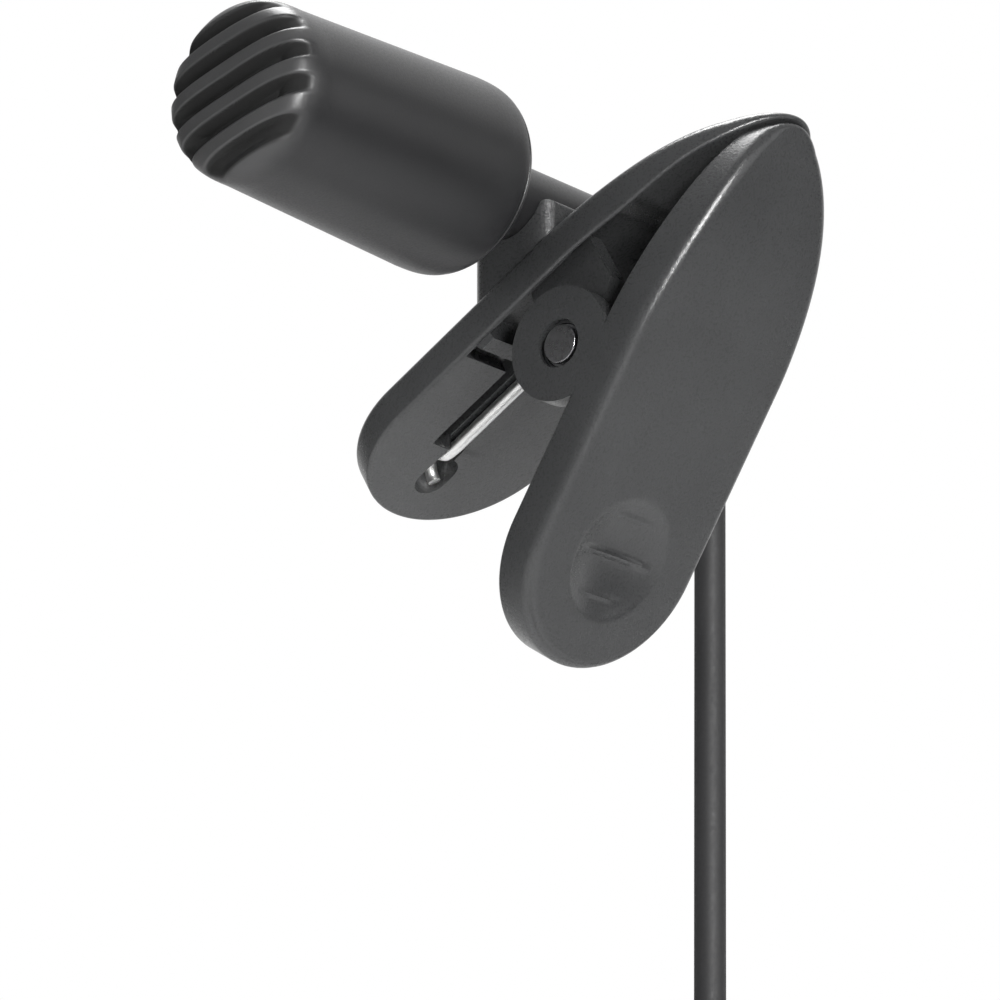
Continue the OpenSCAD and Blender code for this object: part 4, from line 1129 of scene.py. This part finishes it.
class MIC_OT_pin(bpy.types.Operator):
    """Turns the hinge pin with slimmer, rounded ends"""

    bl_idname = "mic.pin"
    bl_label = "Hinge Pin"

    def execute(self, context):
        end, nose = PIN_HIGH[1], PIN_RADIUS - PIN_STEP
        rim = arc((nose - PIN_ROUND, end - PIN_ROUND), PIN_ROUND, 90, 0, 8)
        half = np.vstack([[[0, end], [nose - 2 * PIN_ROUND, end]], rim,
                          [[nose, end - PIN_NOSE], [PIN_RADIUS, end - PIN_NOSE]]])
        profile = np.vstack([half, half[::-1] * [1, -1]])
        piece = turned("pin", profile, PIN, 96, "pin", smooth_angle=60.0)
        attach(piece, "back_clip")
        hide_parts("hinge_pin")
        return {"FINISHED"}


# The back leg's hook: [towards the jaw from the hole's middle, sideways, depth under
# the leg]. It dips under the leaf's face and comes up again in the hole.
HOOK = np.array([[-0.63, 1.1, 0.05], [-0.55, 1.02, 0.4], [-0.35, 0.85, 0.8], [0.0, 0.6, 1.1],
                 [0.45, 0.3, 1.2], [0.9, 0.12, 0.95], [1.3, 0.03, 0.5], [1.7, 0, 0.12], [2.6, 0, 0]])
# Steps to a span of the hook, to a turn of the coil and to a leg, and points round the wire.
HOOK_STEPS, CURL_STEPS, LEG_STEPS, WIRE_SIDES = 5, 48, 8, 16


class MIC_OT_spring(bpy.types.Operator):
    """Winds the torsion spring: a leg in the back leaf, the coil and a leg in the front one"""

    bl_idname = "mic.spring"
    bl_label = "Spring"

    def execute(self, context):
        shape = ClipShape(context.scene.mic_clip)
        leg, coil = self.paths(shape)
        for name, path in (("spring_leg", leg), ("spring", coil)):
            points, faces = tube_surface(path, shape.wire / 2, WIRE_SIDES, (0.0, 1.0, 0.0))
            piece = add_piece(name, points, faces, "spring", smooth_angle=60.0)
            mend(piece)
            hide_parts("clip_spring")
            if name == "spring_leg":
                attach(piece, "back_clip")
            else:
                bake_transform(piece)
        return {"FINISHED"}

    def paths(self, shape):
        """The back leg with its hook, and the helix with the front leg. Both legs
        bend from a tangent of the helix into their leaf's channel."""
        back, front = in_leaf(shape.back_tilt, False), in_leaf(shape.front_tilt, True)
        back_t = shape.back_inner + shape.leg_depth
        front_t = shape.front_inner + shape.leg_depth

        def touch(t):
            """Angle in the leaf at which a tangent from the bend meets the coil."""
            return np.arctan2(t, -LEG_BEND) - np.arccos(COIL_RADIUS / np.hypot(LEG_BEND, t))

        def straight(to_place, first, last, across, depth):
            """A leg's run along its leaf."""
            run = np.linspace(first, last, LEG_STEPS)
            return to_place(run, np.full(LEG_STEPS, across), np.full(LEG_STEPS, depth))

        start = shape.back_tilt + touch(back_t)
        end = shape.front_tilt - touch(front_t) - 2 * np.pi * COIL_TURNS
        turns = (start - end) / (2 * np.pi)
        share = np.linspace(0, 1, int(CURL_STEPS * turns))
        a = start + (end - start) * share
        y = COIL_PITCH * turns * share - LEG_SHIFT
        helix = np.stack([COIL_RADIUS * np.cos(a), y, COIL_RADIUS * np.sin(a)], axis=-1) + PIN
        hook = spline(HOOK, HOOK_STEPS)
        curl = back(HOLE_PLACE + hook[:, 0], hook[:, 1] - LEG_SHIFT, back_t + hook[:, 2])
        leg = straight(back, BACK_LEG_END, -LEG_BEND, -LEG_SHIFT, back_t)
        last = straight(front, -LEG_BEND, FRONT_LEG_END, y[-1], front_t)
        return np.vstack([curl, leg]), np.vstack([leg[-2:], helix, last])


# ----------------------------------------------------- pieces from the CAD


class MIC_OT_finishes(bpy.types.Operator):
    """Makes every finish and gives it to the pieces that keep their CAD shape"""

    bl_idname = "mic.finishes"
    bl_label = "Finishes"

    def execute(self, context):
        make_finishes(context.scene.mic_finish)
        for row in frame["record"]["subparts"]:
            node = frame["nodes"][row["node"]]
            material = FINISHES[row["material_slot"]]
            if not node.material_slots:
                node.data.materials.append(material)
            for slot in node.material_slots:
                slot.material = material
        return {"FINISHED"}


# ------------------------------------------------------------------ studio

# The camera's axes as columns and its place in millimetres, in the frame of the jaws,
# with its sensor's width in millimetres and its near and far limits in metres.
CAMERA_AXES = np.array([(0.7683, 0.6401, 0.0), (0.1904, -0.2285, 0.9548),
                        (0.6112, -0.7335, -0.2974)]).T
CAMERA_PLACE = (173.67, -236.81, -115.65)
SENSOR, CLIP_START, CLIP_END = 36.0, 0.01, 20.0
# Each lamp's setting, place and size in millimetres, and the rays that don't see it.
LAMPS = {
    "top_lamp": ("key", (-80.0, 40.0, 420.0), (240.0, 240.0), None),
    "edge_lamp": ("edge", (170.0, -100.0, -10.0), (20.0, 105.0), "visible_diffuse"),
    "strip_lamp": ("strip", (170.0, -100.0, 2.0), (60.0, 16.0), "visible_glossy"),
    "side_lamp": ("side", (205.0, 45.0, 25.0), (200.0, 120.0), None),
    "low_lamp": ("fill", (-15.0, 12.0, -140.0), (140.0, 140.0), "visible_glossy"),
    "front_lamp": ("front", (-60.0, -295.0, 20.0), (150.0, 150.0), "visible_glossy"),
}
# At what share of +Y in a direction the surroundings begin to brighten, and are white.
SKY_DIM, SKY_WHITE = -0.1, 0.65
# The floor's half width, its gap below the object, and how brightly the camera and
# the gloss see it without the lamps.
FLOOR_REACH, FLOOR_GAP, PALE_TO_CAMERA, PALE_TO_GLOSS = 700.0, 4.0, 0.56, 0.15
# The dark card's place along X, half its width, and its top.
CARD_X, CARD_REACH, CARD_TOP = 220.0, 420.0, 230.0


def placement(axes, place_mm):
    """A matrix from three axes as columns and a place."""
    return Matrix([[*row, c * MM] for row, c in zip(axes, place_mm)] + [[0, 0, 0, 1]])


def add_lamp(name, place_mm, aim_mm, size_mm, power):
    """An area lamp at a place, turned to its aim."""
    data = bpy.data.lights.new(name, "AREA")
    data.shape = "RECTANGLE"
    data.size, data.size_y = (s * MM for s in size_mm)
    data.energy = power
    lamp = bpy.data.objects.new(name, data)
    lamp.visible_camera = False
    away = np.asarray(place_mm) - np.asarray(aim_mm)
    back = away / np.linalg.norm(away)
    right = np.cross((0, 0, 1), back)
    right /= np.linalg.norm(right)
    up = np.cross(back, right)
    lamp.matrix_world = placement(np.stack([right, up, back], axis=1), place_mm)
    bpy.context.scene.collection.objects.link(lamp)
    return lamp


def shown_white(tree, ambient, near):
    """Strength 1 to the camera. Other rays see white on the far side, along +Y,
    fading to a share near on the near side, and diffuse ones ambient times that."""
    ray = tree.nodes.new("ShaderNodeLightPath").outputs
    where = tree.nodes.new("ShaderNodeTexCoord")
    far = worked_out(tree, "DOT_PRODUCT", where.outputs["Generated"], (0.0, 1.0, 0.0),
                     kind="ShaderNodeVectorMath")
    side = ranged(tree, far, near, 1.0, SKY_DIM, SKY_WHITE, "SMOOTHSTEP")
    gloss = worked_out(tree, "MAXIMUM", ray["Is Glossy Ray"], ray["Is Transmission Ray"])
    unseen = worked_out(tree, "MULTIPLY", worked_out(tree, "MAXIMUM", gloss, ambient), side)
    return worked_out(tree, "MAXIMUM", unseen, ray["Is Camera Ray"])


def shown_pale(tree, shader):
    """The camera sees the floor pale far from the lamps too, and gloss sees it a little."""
    ray = tree.nodes.new("ShaderNodeLightPath").outputs
    seen = worked_out(tree, "MAXIMUM", ray["Is Glossy Ray"], ray["Is Transmission Ray"])
    faint = worked_out(tree, "MULTIPLY", seen, PALE_TO_GLOSS)
    plain = worked_out(tree, "MULTIPLY_ADD", ray["Is Camera Ray"], PALE_TO_CAMERA, faint)
    shader.inputs["Emission Color"].default_value = (1.0, 1.0, 1.0, 1.0)
    tree.links.new(plain, shader.inputs["Emission Strength"])


def add_sheet(name, corners, material_name, tone, spread, roughness):
    """A flat sheet of paper on the stage, from its corners in millimetres."""
    material, tree, shader = new_material(material_name)
    tree.links.new(tinted(tree, object_noise(tree, 40.0), (tone, tone, tone), spread),
                   shader.inputs["Base Color"])
    shader.inputs["Roughness"].default_value = roughness
    mesh = bpy.data.meshes.new(name)
    mesh.from_pydata((np.array(corners) * MM).tolist(), [], [[0, 1, 2, 3]])
    mesh.materials.append(material)
    sheet = bpy.data.objects.new(name, mesh)
    bpy.context.scene.collection.objects.link(sheet)
    return sheet, tree, shader


class MIC_OT_studio(bpy.types.Operator):
    """Sets the camera, the white surroundings, the floor and the lamps"""

    bl_idname = "mic.studio"
    bl_label = "Studio"

    def execute(self, context):
        scene = context.scene
        studio = scene.mic_studio
        camera = bpy.data.objects.new("camera", bpy.data.cameras.new("camera"))
        camera.data.lens = studio.lens
        camera.data.sensor_width = SENSOR
        camera.data.clip_start, camera.data.clip_end = CLIP_START, CLIP_END
        camera.matrix_world = placement(CAMERA_AXES, CAMERA_PLACE)
        scene.collection.objects.link(camera)
        scene.camera = camera

        world = bpy.data.worlds.new("white_cove")
        world.use_nodes = True
        scene.world = world
        sky = world.node_tree.nodes["Background"]
        sky.inputs["Color"].default_value = (1.0, 1.0, 1.0, 1.0)
        world.node_tree.links.new(shown_white(world.node_tree, studio.ambient, studio.near),
                                  sky.inputs["Strength"])

        reach, z = FLOOR_REACH, CAD_BOX[0][2] / MM - FLOOR_GAP
        _, tree, shader = add_sheet(
            "floor", [[-reach, -reach, z], [reach, -reach, z], [reach, reach, z], [-reach, reach, z]],
            "floor_paper", tone=0.7, spread=0.01, roughness=0.8)
        shown_pale(tree, shader)
        x, reach, top = CARD_X, CARD_REACH, CARD_TOP
        card = add_sheet(
            "dark_card", [[x, -reach, z], [x, reach, z], [x, reach, top], [x, -reach, top]],
            "card_paper", tone=0.02, spread=0.1, roughness=0.9)[0]
        card.visible_camera = False
        card.visible_shadow = False

        for name, (setting, place, size, unseen_by) in LAMPS.items():
            lamp = add_lamp(name, place, (PIN[0], 0.0, PIN[2]), size, getattr(studio, setting))
            if unseen_by:
                setattr(lamp, unseen_by, False)
        scene.view_settings.view_transform = "Standard"
        return {"FINISHED"}


# ------------------------------------------------------------------- panel


class MIC_PT_panel(bpy.types.Panel):
    """Lists the steps that build the microphone"""

    bl_idname = "MIC_PT_panel"
    bl_label = "Clip Microphone"
    bl_space_type = "VIEW_3D"
    bl_region_type = "UI"
    bl_category = "Clip Microphone"

    def draw(self, context):
        for step in STEPS:
            self.layout.operator(step.bl_idname)


GROUPS = {"mic_clip": ClipSettings, "mic_head": HeadSettings, "mic_cord": CordSettings,
          "mic_finish": FinishSettings, "mic_studio": StudioSettings}
STEPS = (MIC_OT_studio, MIC_OT_finishes, MIC_OT_cord, MIC_OT_back_leaf, MIC_OT_front_leaf,
         MIC_OT_pin, MIC_OT_spring, MIC_OT_housing, MIC_OT_rear_cap)


def register():
    """Registers the settings, the operators and the panel."""
    for cls in (*GROUPS.values(), *STEPS, MIC_PT_panel):
        bpy.utils.register_class(cls)
    for name, group in GROUPS.items():
        setattr(bpy.types.Scene, name, bpy.props.PointerProperty(type=group))


def unregister():
    """Takes them away again."""
    for name in GROUPS:
        delattr(bpy.types.Scene, name)
    for cls in (MIC_PT_panel, *reversed(STEPS), *GROUPS.values()):
        bpy.utils.unregister_class(cls)


def main():
    register()
    for step in STEPS:
        group, name = step.bl_idname.split(".")
        getattr(getattr(bpy.ops, group), name)()


if __name__ == "__main__":
    main()
